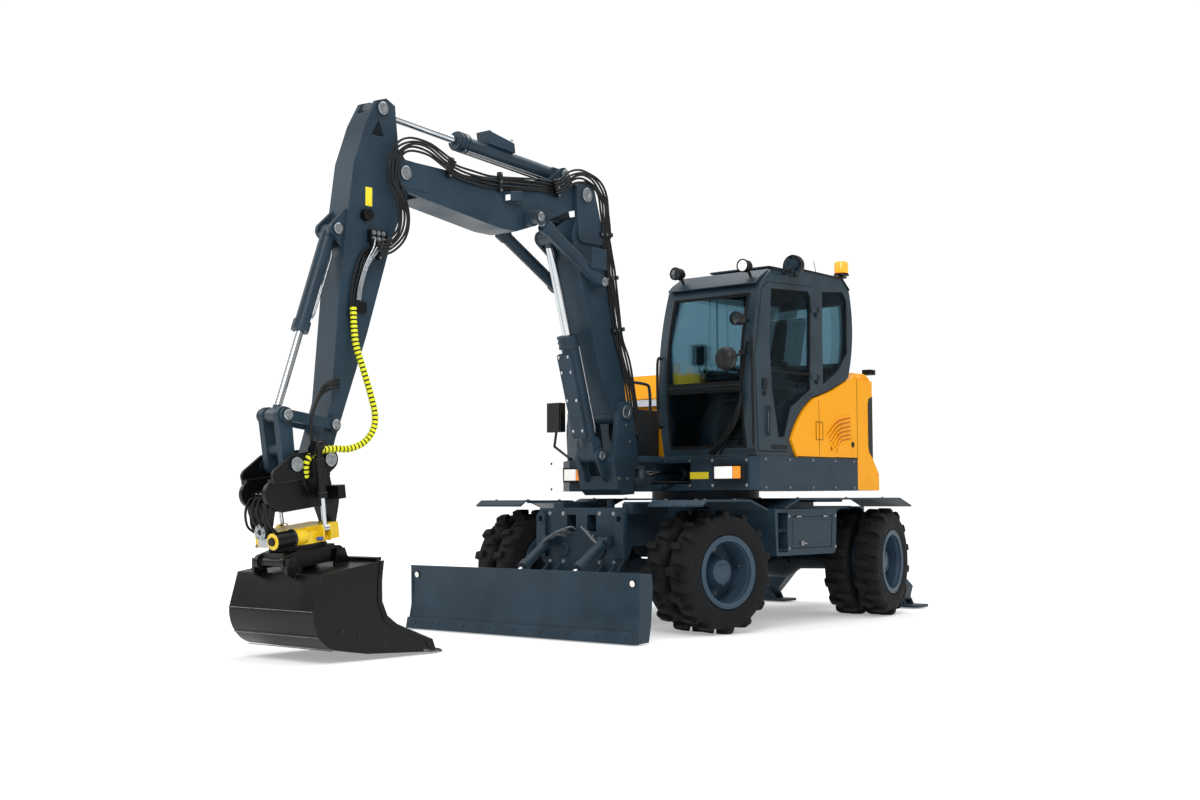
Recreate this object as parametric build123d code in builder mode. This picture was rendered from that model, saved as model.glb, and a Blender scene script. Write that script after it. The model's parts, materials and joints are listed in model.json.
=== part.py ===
from build123d import *
import math
import os

# Wheeled excavator with a two-piece boom, a swing post and a tilting, rotating tool head.
# Millimetres. X points to the machine's left, -Y to its front, Z up, and the wheels stand on z = 0.
# Side-view points are (y, z), plan points are (x, y). All y values below are measured from the
# slew axis, and a finished piece is moved so that the origin is the middle of the machine's length.
MIDDLE_TO_SLEW_AXIS = 1363.0

# Clearance of a piece that lies on its seat
SEAT = 0.3

# Driving dimensions of the undercarriage
OVERALL_WIDTH = 2480.0
TYRE_RADIUS = 495.0
TYRE_WIDTH = 232.0
TWIN_SPACING = 285.0
RIM_RADIUS = 262.0
RIM_LIP = 290.0
FRONT_AXLE_Y = -1275.0
REAR_AXLE_Y = 1165.0
KINGPIN_X = 834.0
STEER_REST = 11.0
CHASSIS_HALF = 330.0
CHASSIS_TOP = 1005.0
CHASSIS_FRONT_Y = -1730.0
CHASSIS_REAR_Y = 2000.0
FENDER_TOP = 1070.0
FENDER_STAYS = (-1350.0, 900.0)
FENDER_STAY_Z = 1045.0
AXLE_SEAT_Z = 690.0 - SEAT
SLEW_RING_RADIUS = 490.0
RING_SPLIT = 1078.0
SIDE_BOX_FRONT_Y = -652.0
SIDE_BOX_REAR_Y = 318.0
SIDE_BOX_BOTTOM = 600.0
SIDE_BOX_TOP = CHASSIS_TOP - 14 - SEAT
SIDE_BOX_OUT = OVERALL_WIDTH / 2 - 40

# Driving dimensions of the blade and the stabilizers
BLADE_PIVOT = (-1800.0, 430.0)
BLADE_HEIGHT = 522.0
BLADE_FOOT_Y = -2540.0
BLADE_GROUND = 8.0
BLADE_CYL_TOP = (-1790.0, 740.0)
BLADE_CYL_EYE = (-2300.0, 400.0)
BLADE_ARM_X = 300.0
STAB_Y = 2200.0
STAB_PIVOT = (330.0, 620.0)
STAB_FOOT = (770.0, 105.0)

# Driving dimensions of the upper structure
DECK_BOTTOM = 1150.0
DECK_TOP = 1430.0
DECK_HALF = 1200.0
DECK_FRONT_Y = -925.0
DECK_SEAM_Y = 684.0
TAIL_UPPER_RADIUS = DECK_HALF + 330
TAIL_RADIUS = TAIL_UPPER_RADIUS + 70
TAIL_TOP = 2150.0
CAB_INNER_X = 215.0
CAB_OUTER_X = DECK_HALF - 20
CAB_WALL = 45.0

# Side-view pins of the working arm, (y, z)
SWING_PIN_Y = -1170.0
BOOM_FOOT = (-1400.0, 1807.0)
KNEE = (-1866.0, 3588.0)
ARM_PIVOT = (-3843.0, 3459.0)
ARM_TIP = (-4544.0, 1358.0)
BOOM_CYL_BASE = (-1607.0, 1440.0)
BOOM_CYL_EYE = (-2140.0, 3217.0)
ADJUST_BASE = (-1758.0, 2866.0)
ADJUST_EYE = (-2533.0, 3303.0)
ARM_CYL_BASE = (-2040.0, 3741.0)
ARM_CYL_EYE = (-4032.0, 3907.0)
BUCKET_CYL_BASE = (-4422.0, 2980.0)
LINK_TOP = (-4880.0, 1652.0)
GUIDE_PIN = (-4468.0, 1600.0)
HITCH_PIN = (-4834.0, 1319.0)
SWING_EYE = (170.0, -1155.0)
SWING_BASE = (400.0, -330.0)

# Widths of the arm's layers, measured from the machine's middle plane
BOOM_HALF = 160.0
UPPER_HALF = 138.0
ARM_HALF = 104.0
PLATE = 28.0
SIDE_GAP = 6.0
HITCH_EAR_IN = ARM_HALF + SIDE_GAP + 46.0
HITCH_FOOT_IN = ARM_HALF + SIDE_GAP + 2.0
ADJUST_X = 240.0
PIN_GAP = 0.3
ROD_FIT = 0.5

# Tool head
TOOL_PITCH = 7.7
TILT_ORIGIN = (-4690.0, 905.0)


def side_plate(points, x_from, x_to, mode=Mode.ADD):
    """Extrude a closed side-view outline of (y, z) points between two x values."""
    with BuildSketch(Plane.YZ.offset(x_from)) as outline:
        with BuildLine():
            Polyline(*points, close=True)
        make_face()
    extrude(outline.sketch, amount=x_to - x_from, mode=mode)


def plan_plate(points, z_from, z_to, mode=Mode.ADD):
    """Extrude a closed plan outline of (x, y) points between two heights."""
    with BuildSketch(Plane.XY.offset(z_from)) as outline:
        with BuildLine():
            Polyline(*points, close=True)
        make_face()
    extrude(outline.sketch, amount=z_to - z_from, mode=mode)


def front_plate(points, y_from, y_to, mode=Mode.ADD):
    """Extrude a closed front-view outline of (x, z) points between two y values."""
    with BuildSketch(Plane.XZ.offset(-y_from)) as outline:
        with BuildLine():
            Polyline(*points, close=True)
        make_face()
    extrude(outline.sketch, amount=y_from - y_to, mode=mode)


def rounded_link(pins, radii, x_from, x_to, mode=Mode.ADD):
    """Extrude a side-view hull round discs at the given (y, z) pins between two x values."""
    with BuildSketch(Plane.YZ.offset(x_from)) as outline:
        for pin, radius in zip(pins, radii):
            with Locations(pin):
                Circle(radius)
        make_hull()
    extrude(outline.sketch, amount=x_to - x_from, mode=mode)


def cross_pin(pin, radius, x_from, x_to, mode=Mode.ADD):
    """Extrude a disc across the machine at a side-view pin, between two x values."""
    with BuildSketch(Plane.YZ.offset(x_from)) as disc:
        with Locations(pin):
            Circle(radius)
    extrude(disc.sketch, amount=x_to - x_from, mode=mode)


def along(start, end, distance):
    """Return the point at a distance from start towards end."""
    length = math.dist(start, end)
    return tuple(a + (b - a) * distance / length for a, b in zip(start, end))


def rod_between(start, end, radius, mode=Mode.ADD):
    """Extrude a round bar between two points in space."""
    axis = Vector(*end) - Vector(*start)
    with BuildSketch(Plane(origin=start, z_dir=axis)) as disc:
        Circle(radius)
    extrude(disc.sketch, amount=axis.length, mode=mode)


def side_point(x, pin):
    """Return the space point of a side-view pin at one x value."""
    return (x, pin[0], pin[1])


def save(builder, name):
    """Move a finished piece to the machine's origin, label it and write it under its node name."""
    builder.part.move(Location((0, MIDDLE_TO_SLEW_AXIS, 0)))
    builder.part.label = name
    export_step(builder.part, f"parts/{name}.step")


# Hydraulic cylinders: a bored barrel on its base pin, and a rod whose eye carries its own pin
def side_barrel(base, eye, x, barrel, radius, rod, eye_half, shoulder=0.0):
    """Add a side-view cylinder barrel with its base eye, gland and bore."""
    start, end = side_point(x, base), side_point(x, eye)
    shoulder = max(shoulder, radius * 0.6)
    neck = along(base, eye, shoulder + 10)
    rounded_link([base, neck], [radius * 0.8, radius * 0.8], x - eye_half, x + eye_half)
    rod_between(along(start, end, shoulder), along(start, end, barrel), radius)
    rod_between(along(start, end, barrel - radius * 1.2), along(start, end, barrel + radius * 0.2), radius * 1.2)
    bore = along(start, end, shoulder + radius)
    rod_between(bore, along(start, end, barrel + radius), rod + ROD_FIT, Mode.SUBTRACT)


def side_rod(base, eye, x, inside, radius, eye_radius, eye_half):
    """Add a side-view piston rod from its inner end to the eye."""
    start, end = side_point(x, base), side_point(x, eye)
    rod_between(along(start, end, inside), along(end, start, eye_radius * 0.5), radius)
    cross_pin(eye, eye_radius, x - eye_half, x + eye_half)


# Chassis frame
def build_chassis():
    """Build the frame with its front plate, blade lugs, lower slew ring and stabilizer box."""
    with BuildPart() as frame:
        side_plate(
            [
                (CHASSIS_FRONT_Y + 25, CHASSIS_TOP), (CHASSIS_REAR_Y, CHASSIS_TOP),
                (CHASSIS_REAR_Y, 620), (REAR_AXLE_Y + 260, 610), (REAR_AXLE_Y + 190, 690),
                (REAR_AXLE_Y - 190, 690), (REAR_AXLE_Y - 260, 580), (FRONT_AXLE_Y + 260, 580),
                (FRONT_AXLE_Y + 190, 690), (FRONT_AXLE_Y - 190, 690), (FRONT_AXLE_Y - 250, 560),
                (CHASSIS_FRONT_Y + 25, 480),
            ],
            -CHASSIS_HALF, CHASSIS_HALF,
        )
        front_plate(
            [(-470, CHASSIS_TOP), (470, CHASSIS_TOP), (470, 620), (370, 480), (-370, 480), (-470, 620)],
            CHASSIS_FRONT_Y, CHASSIS_FRONT_Y + 25,
        )
        for x in (-110, 110):
            with Locations((x, CHASSIS_FRONT_Y + 60, 880)):
                Box(100, 200, 140, mode=Mode.SUBTRACT)
        for x in (-380, 380):
            for y in FENDER_STAYS:
                with Locations((x, y, FENDER_STAY_Z - 45)):
                    Box(110, 480, 90)
        with Locations((0, 0, (CHASSIS_TOP + RING_SPLIT) / 2)):
            Cylinder(SLEW_RING_RADIUS - 22, RING_SPLIT - CHASSIS_TOP)
        with Locations((0, 0, CHASSIS_TOP - 7)):
            Box(1040, 900, 14)
        with Locations((0, -1350, 1040)):
            Cylinder(34, 90)
        # Blade hinge lugs and lift cylinder lugs on the front plate
        for x in (-BLADE_ARM_X, BLADE_ARM_X):
            for side in (-1, 1):
                centre = x + side * (45 + SIDE_GAP + 12)
                rounded_link(
                    [BLADE_PIVOT, (CHASSIS_FRONT_Y + 60, BLADE_PIVOT[1] + 90)], [55, 60],
                    centre - 12, centre + 12,
                )
                centre = x + side * (30 + PIN_GAP + 10)
                rounded_link(
                    [BLADE_CYL_TOP, (CHASSIS_FRONT_Y + 20, BLADE_CYL_TOP[1])], [38, 45],
                    centre - 10, centre + 10,
                )
            cross_pin(BLADE_PIVOT, 24, x - 80, x - 45 - PIN_GAP)
            cross_pin(BLADE_PIVOT, 24, x + 45 + PIN_GAP, x + 80)
            cross_pin(BLADE_CYL_TOP, 20, x - 58, x - 30 - PIN_GAP)
            cross_pin(BLADE_CYL_TOP, 20, x + 30 + PIN_GAP, x + 58)
        # Stabilizer box across the rear
        with Locations((0, CHASSIS_REAR_Y + 40, 790)):
            Box(860, 80, 420)
        for y in (STAB_Y - 75, STAB_Y + 75):
            front_plate(
                [(-390, 900), (390, 900), (390, 540), (270, 540), (180, 700), (-180, 700), (-270, 540), (-390, 540)],
                y - 10, y + 10,
            )
        with Locations((0, STAB_Y - 20, 830)):
            Box(360, 260, 140)
    save(frame, "chassis_frame")


def build_tie_down_ears():
    """Build the two pierced lifting and tie-down ears on the front plate."""
    with BuildPart() as ears:
        for side in (-1, 1):
            x = side * 430
            front_plate(
                [
                    (x - 48, 600), (x + 48, 600), (x + 48, 940), (x + 20, 975), (x - 20, 975), (x - 48, 940),
                ],
                CHASSIS_FRONT_Y - 32, CHASSIS_FRONT_Y,
            )
            with Locations((x, CHASSIS_FRONT_Y - 16, 915)):
                Cylinder(25, 80, rotation=(90, 0, 0), mode=Mode.SUBTRACT)
    save(ears, "tie_down_ears")


def build_axles():
    """Build both steering axles with their forks, the gearbox and the propeller shafts."""
    with BuildPart() as axles:
        for y in (FRONT_AXLE_Y, REAR_AXLE_Y):
            with BuildSketch(Plane.XZ.offset(-y)) as casing:
                with BuildLine():
                    Polyline(
                        (-KINGPIN_X + 120, TYRE_RADIUS), (-KINGPIN_X + 120, TYRE_RADIUS + 78),
                        (-260, TYRE_RADIUS + 88), (-110, TYRE_RADIUS + 172), (110, TYRE_RADIUS + 172),
                        (260, TYRE_RADIUS + 88), (KINGPIN_X - 120, TYRE_RADIUS + 78),
                        (KINGPIN_X - 120, TYRE_RADIUS), close=True,
                    )
                make_face()
            revolve(casing.sketch, axis=Axis((0, y, TYRE_RADIUS), (1, 0, 0)))
            with Locations((0, y, (TYRE_RADIUS + AXLE_SEAT_Z) / 2 + 20)):
                Box(240, 200, AXLE_SEAT_Z - TYRE_RADIUS - 40)
            for side in (-1, 1):
                front_plate(
                    [
                        (side * (KINGPIN_X - 140), TYRE_RADIUS - 150), (side * (KINGPIN_X + 55), TYRE_RADIUS - 150),
                        (side * (KINGPIN_X + 55), TYRE_RADIUS - 112), (side * (KINGPIN_X - 85), TYRE_RADIUS - 112),
                        (side * (KINGPIN_X - 85), TYRE_RADIUS + 112), (side * (KINGPIN_X + 55), TYRE_RADIUS + 112),
                        (side * (KINGPIN_X + 55), TYRE_RADIUS + 150), (side * (KINGPIN_X - 140), TYRE_RADIUS + 150),
                    ],
                    y - 50, y + 50,
                )
        with Locations((0, 250, 500)):
            Box(300, 380, 158)
        rod_between((0, FRONT_AXLE_Y + 120, TYRE_RADIUS), (0, 100, 500), 42)
        rod_between((0, 400, 500), (0, REAR_AXLE_Y - 120, TYRE_RADIUS), 42)
    save(axles, "axles")


def build_fenders():
    """Build the four bent mudguards over the twin wheels, with their brackets."""
    inner, outer = 700.0, OVERALL_WIDTH / 2
    top = FENDER_TOP
    front_line = [(-1720, top - 40), (-1660, top), (-1055, top), (-812, top - 78)]
    rear_line = [(-560, top - 64), (-331, top + 13), (1365, top + 13), (1570, top - 56)]
    with BuildPart() as fenders:
        for side in (-1, 1):
            low, high = sorted((side * inner, side * outer))
            for line in (front_line, rear_line):
                under = [(y, z - 14) for y, z in reversed(line)]
                side_plate(line + under, low, high)
        for side in (-1, 1):
            low, high = sorted((side * (CHASSIS_HALF + 1), side * 760))
            for y, z_top in zip(FENDER_STAYS, (top - 14, top - 1)):
                plan_plate([(low, y - 230), (high, y - 230), (high, y + 230), (low, y + 230)],
                           FENDER_STAY_Z + 0.3, z_top)
    save(fenders, "fenders")


def build_side_boxes():
    """Build the tool boxes between the wheels, each with an open step at its front."""
    with BuildPart() as boxes:
        for side in (-1, 1):
            low, high = sorted((side * (CHASSIS_HALF + 20), side * SIDE_BOX_OUT))
            side_plate(
                [
                    (SIDE_BOX_FRONT_Y, SIDE_BOX_TOP), (SIDE_BOX_REAR_Y, SIDE_BOX_TOP),
                    (SIDE_BOX_REAR_Y - 25, SIDE_BOX_BOTTOM + 25), (SIDE_BOX_REAR_Y - 60, SIDE_BOX_BOTTOM),
                    (SIDE_BOX_FRONT_Y + 20, SIDE_BOX_BOTTOM),
                ],
                low, high,
            )
            cut_low, cut_high = sorted((side * 960, side * (SIDE_BOX_OUT + 10)))
            side_plate(
                [
                    (SIDE_BOX_FRONT_Y + 40, SIDE_BOX_TOP - 30), (SIDE_BOX_FRONT_Y + 190, SIDE_BOX_TOP - 30),
                    (SIDE_BOX_FRONT_Y + 190, SIDE_BOX_BOTTOM + 30), (SIDE_BOX_FRONT_Y + 48, SIDE_BOX_BOTTOM + 30),
                ],
                cut_low, cut_high, Mode.SUBTRACT,
            )
            face_low, face_high = sorted((side * (SIDE_BOX_OUT - 12), side * (SIDE_BOX_OUT + 10)))
            side_plate(
                [
                    (SIDE_BOX_FRONT_Y + 235, SIDE_BOX_TOP - 60), (SIDE_BOX_REAR_Y - 70, SIDE_BOX_TOP - 60),
                    (SIDE_BOX_REAR_Y - 90, SIDE_BOX_BOTTOM + 55), (SIDE_BOX_FRONT_Y + 235, SIDE_BOX_BOTTOM + 55),
                ],
                face_low, face_high, Mode.SUBTRACT,
            )
    save(boxes, "side_boxes")


# Steered twin wheels, drawn straight at x > 0 and then turned and mirrored into place
WHEEL_PLACES = {
    "front_left": (1, FRONT_AXLE_Y, -STEER_REST),
    "front_right": (-1, FRONT_AXLE_Y, -STEER_REST),
    "rear_left": (1, REAR_AXLE_Y, STEER_REST),
    "rear_right": (-1, REAR_AXLE_Y, STEER_REST),
}
OUTER_TYRE_X = OVERALL_WIDTH / 2 - TYRE_WIDTH / 2
INNER_TYRE_X = OUTER_TYRE_X - TWIN_SPACING
LUG_HEIGHT = 26.0
HUB_BORE = 76.0
LUGS_PER_ROW = 10
TREAD_HALF = 90.0
TYRE_FACETS = 2 * LUGS_PER_ROW


def place_wheel_piece(piece, name, node):
    """Turn a left-hand piece about its kingpin, set it at its corner and save it."""
    side, axle_y, turn = WHEEL_PLACES[name]
    shape = piece if side > 0 else piece.mirror(Plane.YZ)
    kingpin = Location((side * KINGPIN_X, axle_y, TYRE_RADIUS), (0, 0, turn))
    centred = Location((-side * KINGPIN_X, 0, 0))
    with BuildPart() as placed:
        add(kingpin * centred * shape)
    save(placed, f"{node}_{name}")


def build_knuckle():
    """Return the steering knuckle: a kingpin barrel and the spindle into the hub."""
    with BuildPart() as knuckle:
        with Locations((KINGPIN_X, 0, 0)):
            Cylinder(62, 2 * 112 - 1)
        rod_between((KINGPIN_X, 0, 0), (OUTER_TYRE_X - 20 - PIN_GAP, 0, 0), HUB_BORE - ROD_FIT)
    return knuckle.part


def build_wheel():
    """Return one twin wheel: two rims on a shared disc with the planetary hub."""
    half = TYRE_WIDTH / 2
    with BuildPart() as wheel:
        for x in (INNER_TYRE_X, OUTER_TYRE_X):
            with BuildSketch(Plane.XZ) as rim:
                with BuildLine():
                    Polyline(
                        (x - half + 18, RIM_RADIUS - PIN_GAP), (x - half + 18, RIM_LIP), (x - half + 6, RIM_LIP),
                        (x - half + 6, RIM_RADIUS - 14), (x + half - 6, RIM_RADIUS - 14), (x + half - 6, RIM_LIP),
                        (x + half - 18, RIM_LIP), (x + half - 18, RIM_RADIUS - PIN_GAP), close=True,
                    )
                make_face()
            revolve(rim.sketch, axis=Axis.X)
        middle = (INNER_TYRE_X + OUTER_TYRE_X) / 2
        with BuildSketch(Plane.XZ) as disc:
            with BuildLine():
                Polyline(
                    (middle - 12, HUB_BORE), (middle - 12, RIM_RADIUS - 10), (middle + 12, RIM_RADIUS - 10),
                    (middle + 12, 150), (OUTER_TYRE_X - 12, 112), (OUTER_TYRE_X + 34, 96), (OUTER_TYRE_X + 34, 0),
                    (OUTER_TYRE_X - 20, 0), (OUTER_TYRE_X - 20, HUB_BORE), close=True,
                )
            make_face()
        revolve(disc.sketch, axis=Axis.X)
        with BuildSketch(Plane.XZ) as spacer:
            with Locations((middle, RIM_RADIUS - 5)):
                Rectangle(TWIN_SPACING - TYRE_WIDTH + 30, 18)
        revolve(spacer.sketch, axis=Axis.X)
    return wheel.part


def facet_loft(stations, mode=Mode.ADD):
    """Loft flat-sided rings across the wheel through (x, radius) stations."""
    rings = []
    for x, radius in stations:
        with BuildSketch(Plane.YZ.offset(x)) as ring:
            RegularPolygon(radius, TYRE_FACETS, major_radius=False, rotation=180 / TYRE_FACETS)
        rings.append(ring.sketch.face())
    loft(rings, ruled=True, mode=mode)


def build_twin_tyres():
    """Return the two lugged tyres of one wheel, faceted so that each facet carries one lug."""
    half = TYRE_WIDTH / 2
    base = TYRE_RADIUS - LUG_HEIGHT
    bead = half - 18.3
    with BuildPart() as tyres:
        for x in (INNER_TYRE_X, OUTER_TYRE_X):
            facet_loft([(x - half, base - 60), (x - TREAD_HALF, base), (x + TREAD_HALF, base), (x + half, base - 60)])
            facet_loft([(x - half, RIM_RADIUS + PIN_GAP), (x + half, RIM_RADIUS + PIN_GAP)], Mode.SUBTRACT)
            for side in (-1, 1):
                facet_loft([(x + side * bead, RIM_LIP + 1), (x + side * half, RIM_LIP + 45)], Mode.SUBTRACT)
            for row in (0, 1):
                sign = 1 if row else -1
                for step in range(LUGS_PER_ROW):
                    angle = math.radians((step + 0.5 * row) * 360 / LUGS_PER_ROW)
                    lug = Plane(origin=(x, 0, 0), x_dir=(1, 0, 0), z_dir=(0, -math.sin(angle), math.cos(angle)))
                    with BuildSketch(lug.offset(base - 20)) as block:
                        with BuildLine():
                            Polyline(
                                (sign * -18, -26), (sign * (TREAD_HALF - 2), -46), (sign * (TREAD_HALF - 2), 14),
                                (sign * -18, 26), close=True,
                            )
                        make_face()
                    extrude(block.sketch, amount=LUG_HEIGHT + 20)
    return tyres.part


def build_wheels():
    """Build the knuckles, twin wheels and tyres of all four corners."""
    knuckle, wheel, tyres = build_knuckle(), build_wheel(), build_twin_tyres()
    for name in WHEEL_PLACES:
        place_wheel_piece(knuckle, name, "knuckle")
        place_wheel_piece(wheel, name, "wheel")
        place_wheel_piece(tyres, name, "tyres")


# Dozer blade and its lift cylinders
def build_blade():
    """Build the curved blade with its end plates, arms and cylinder lugs."""
    half = OVERALL_WIDTH / 2
    foot, low, high = BLADE_FOOT_Y, BLADE_GROUND, BLADE_GROUND + BLADE_HEIGHT
    with BuildPart() as blade:
        with BuildSketch(Plane.YZ.offset(-half)) as skin:
            with BuildLine():
                face = ThreePointArc((foot, low), (foot + 58, low + 300), (foot + 40, high))
                Line(face @ 1, (foot + 66, high))
                back = ThreePointArc((foot + 66, high), (foot + 84, low + 300), (foot + 30, low))
                Line(back @ 1, (foot, low))
            make_face()
        extrude(skin.sketch, amount=2 * half)
        for x in (-half, half - 16):
            side_plate(
                [
                    (foot + 44, high - 4), (foot + 190, high - 8), (foot + 200, high - 120), (foot + 175, low + 120),
                    (foot + 150, low + 8), (foot + 8, low + 2), (foot + 50, low + 200),
                ],
                x, x + 16,
            )
        with Locations((0, foot + 92, high - 30)):
            Box(2 * half - 40, 60, 50)
        with Locations((0, foot + 88, low + 70)):
            Box(2 * half - 40, 70, 60)
        for x in (-BLADE_ARM_X, BLADE_ARM_X):
            side_plate(
                [
                    (foot + 70, 300), (foot + 70, 130), (foot + 200, 180), (BLADE_PIVOT[0] - 60, BLADE_PIVOT[1] - 58),
                    (BLADE_PIVOT[0], BLADE_PIVOT[1] - 48), (BLADE_PIVOT[0], BLADE_PIVOT[1] + 48),
                    (BLADE_PIVOT[0] - 60, BLADE_PIVOT[1] + 44),
                ],
                x - 45, x + 45,
            )
            cross_pin(BLADE_PIVOT, 50, x - 45, x + 45)
            for side in (-1, 1):
                centre = x + side * (28 + PIN_GAP + 10)
                side_plate(
                    [
                        (foot + 70, 470), (foot + 75, 290), (BLADE_CYL_EYE[0] + 20, BLADE_CYL_EYE[1] - 60),
                        (BLADE_CYL_EYE[0] + 42, BLADE_CYL_EYE[1]), (BLADE_CYL_EYE[0] + 10, BLADE_CYL_EYE[1] + 42),
                    ],
                    centre - 10, centre + 10,
                )
                low_x, high_x = sorted((x + side * (28 + PIN_GAP + 20), x + side * (28 + PIN_GAP + 32)))
                cross_pin(BLADE_CYL_EYE, 22, low_x, high_x)
    save(blade, "blade")


def build_blade_cylinders():
    """Build the pair of blade lift barrels and the pair of rods."""
    with BuildPart() as barrels:
        for x in (-BLADE_ARM_X, BLADE_ARM_X):
            side_barrel(BLADE_CYL_TOP, BLADE_CYL_EYE, x, 390, 42, 24, 30, 62)
    save(barrels, "blade_lift_barrels")
    with BuildPart() as rods:
        for x in (-BLADE_ARM_X, BLADE_ARM_X):
            side_rod(BLADE_CYL_TOP, BLADE_CYL_EYE, x, 250, 24, 34, 28)
    save(rods, "blade_lift_rods")


def build_stabilizers():
    """Build the left and right outrigger legs with their ground pads."""
    px, pz = STAB_PIVOT
    fx, fz = STAB_FOOT
    for side, name in ((1, "left"), (-1, "right")):
        with BuildPart() as leg:
            outline = [
                (px - 40, pz + 60), (px + 60, pz + 75), (fx + 95, fz + 110), (fx + 60, fz - 20), (fx - 60, fz - 20),
                (px + 60, pz - 190), (px - 60, pz - 50),
            ]
            front_plate([(side * x, z) for x, z in outline], STAB_Y - 60, STAB_Y + 60)
            with Locations((side * px, STAB_Y, pz)):
                Cylinder(62, 130 - 2 * PIN_GAP, rotation=(90, 0, 0))
            with BuildSketch(Plane.XY.offset(12)) as pad:
                with Locations((side * fx, STAB_Y)):
                    RectangleRounded(470, 270, 40)
            extrude(pad.sketch, amount=26)
            for y in (STAB_Y - 76, STAB_Y + 76):
                front_plate(
                    [(side * (fx - 90), 37), (side * (fx + 90), 37), (side * (fx + 40), fz + 30),
                     (side * (fx - 40), fz + 30)],
                    y - 12, y + 12,
                )
            with Locations((side * fx, STAB_Y, fz)):
                Cylinder(26, 190, rotation=(90, 0, 0))
        save(leg, f"stabilizer_{name}")


# Upper structure
POCKET = (115.0, 560.0)


def build_deck():
    """Build the revolving deck with the swing cylinder's pocket, the nose lugs and the ring."""
    with BuildPart() as deck:
        plan_plate(
            [
                (-850, DECK_FRONT_Y), (DECK_HALF - 60, DECK_FRONT_Y), (DECK_HALF, DECK_FRONT_Y + 60),
                (DECK_HALF, DECK_SEAM_Y), (-DECK_HALF, DECK_SEAM_Y), (-DECK_HALF, DECK_FRONT_Y + 310),
            ],
            DECK_BOTTOM, DECK_TOP,
        )
        with Locations((0, 0, (RING_SPLIT + PIN_GAP + DECK_BOTTOM) / 2)):
            Cylinder(SLEW_RING_RADIUS, DECK_BOTTOM - RING_SPLIT - PIN_GAP)
        # The nose carries the swing post between two round-ended lugs
        for z_low, z_high in ((DECK_BOTTOM, 1196), (1398, 1448)):
            with BuildSketch(Plane.XY.offset(z_low)) as lug:
                with Locations((0, SWING_PIN_Y)):
                    Circle(105)
                with Locations((0, DECK_FRONT_Y + 5)):
                    Rectangle(420, 10)
                make_hull()
            extrude(lug.sketch, amount=z_high - z_low)
        with Locations((0, SWING_PIN_Y, 1465)):
            Cylinder(50, 34)
        plan_plate(
            [
                (POCKET[0], DECK_FRONT_Y - 200), (POCKET[1] - 40, DECK_FRONT_Y - 200), (POCKET[1], SWING_BASE[1] + 70),
                (POCKET[0] + 120, SWING_BASE[1] + 70),
            ],
            1205, 1385, Mode.SUBTRACT,
        )
        with Locations((SWING_BASE[0], SWING_BASE[1], 1295)):
            Cylinder(22, 182)
    save(deck, "upper_deck")


def tail_outline(radius, front_y, half):
    """Draw the plan outline of the tail as a face: flat sides and a round back."""
    corner_y = math.sqrt(radius ** 2 - half ** 2)
    with BuildLine() as outline:
        Polyline((half, corner_y), (half, front_y), (-half, front_y), (-half, corner_y))
        ThreePointArc((-half, corner_y), (0, radius), (half, corner_y))
    make_face(outline.edges())


BAY_HALF = 860.0
BAY_REAR_Y = TAIL_UPPER_RADIUS - 240
REAR_DOOR_HALF = 580.0
REAR_DOOR_LOW = 1440.0
REAR_DOOR_HEIGHT = 640.0


def build_counterweight():
    """Build the tail counterweight with its engine bay and rear opening."""
    with BuildPart() as weight:
        with BuildSketch(Plane.XY.offset(DECK_BOTTOM)) as foot:
            tail_outline(TAIL_RADIUS, DECK_SEAM_Y + SEAT, DECK_HALF)
        extrude(foot.sketch, amount=150)
        with BuildSketch(Plane.XY.offset(DECK_BOTTOM + 150)) as lower:
            tail_outline(TAIL_RADIUS, DECK_SEAM_Y + SEAT, DECK_HALF)
        with BuildSketch(Plane.XY.offset(DECK_BOTTOM + 290)) as upper:
            tail_outline(TAIL_UPPER_RADIUS, DECK_SEAM_Y + SEAT, DECK_HALF)
        loft([lower.sketch.face(), upper.sketch.face()])
        with BuildSketch(Plane.XY.offset(DECK_BOTTOM + 290)) as body:
            tail_outline(TAIL_UPPER_RADIUS, DECK_SEAM_Y + SEAT, DECK_HALF)
        extrude(body.sketch, amount=TAIL_TOP - DECK_BOTTOM - 290)
        # Engine bay, open to the front, the top and the rear door
        with Locations((0, (DECK_SEAM_Y + BAY_REAR_Y) / 2, 1800)):
            Box(2 * BAY_HALF, BAY_REAR_Y - DECK_SEAM_Y, 701, mode=Mode.SUBTRACT)
        with Locations((0, TAIL_UPPER_RADIUS - 130, REAR_DOOR_LOW + REAR_DOOR_HEIGHT / 2)):
            Box(2 * REAR_DOOR_HALF, 400, REAR_DOOR_HEIGHT, mode=Mode.SUBTRACT)
    save(weight, "counterweight")


def build_rear_door():
    """Build the slatted rear door in the counterweight's opening."""
    with BuildPart() as door:
        with BuildSketch(Plane.XY.offset(REAR_DOOR_LOW + PIN_GAP)) as body:
            tail_outline(TAIL_UPPER_RADIUS + 14, TAIL_UPPER_RADIUS - 138, REAR_DOOR_HALF - PIN_GAP)
        extrude(body.sketch, amount=REAR_DOOR_HEIGHT - 2 * PIN_GAP)
        for level in range(7):
            with Locations((0, TAIL_UPPER_RADIUS + 30, REAR_DOOR_LOW + 90 + 78 * level)):
                Box(900, 100, 36, mode=Mode.SUBTRACT)
    save(door, "rear_door")


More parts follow.
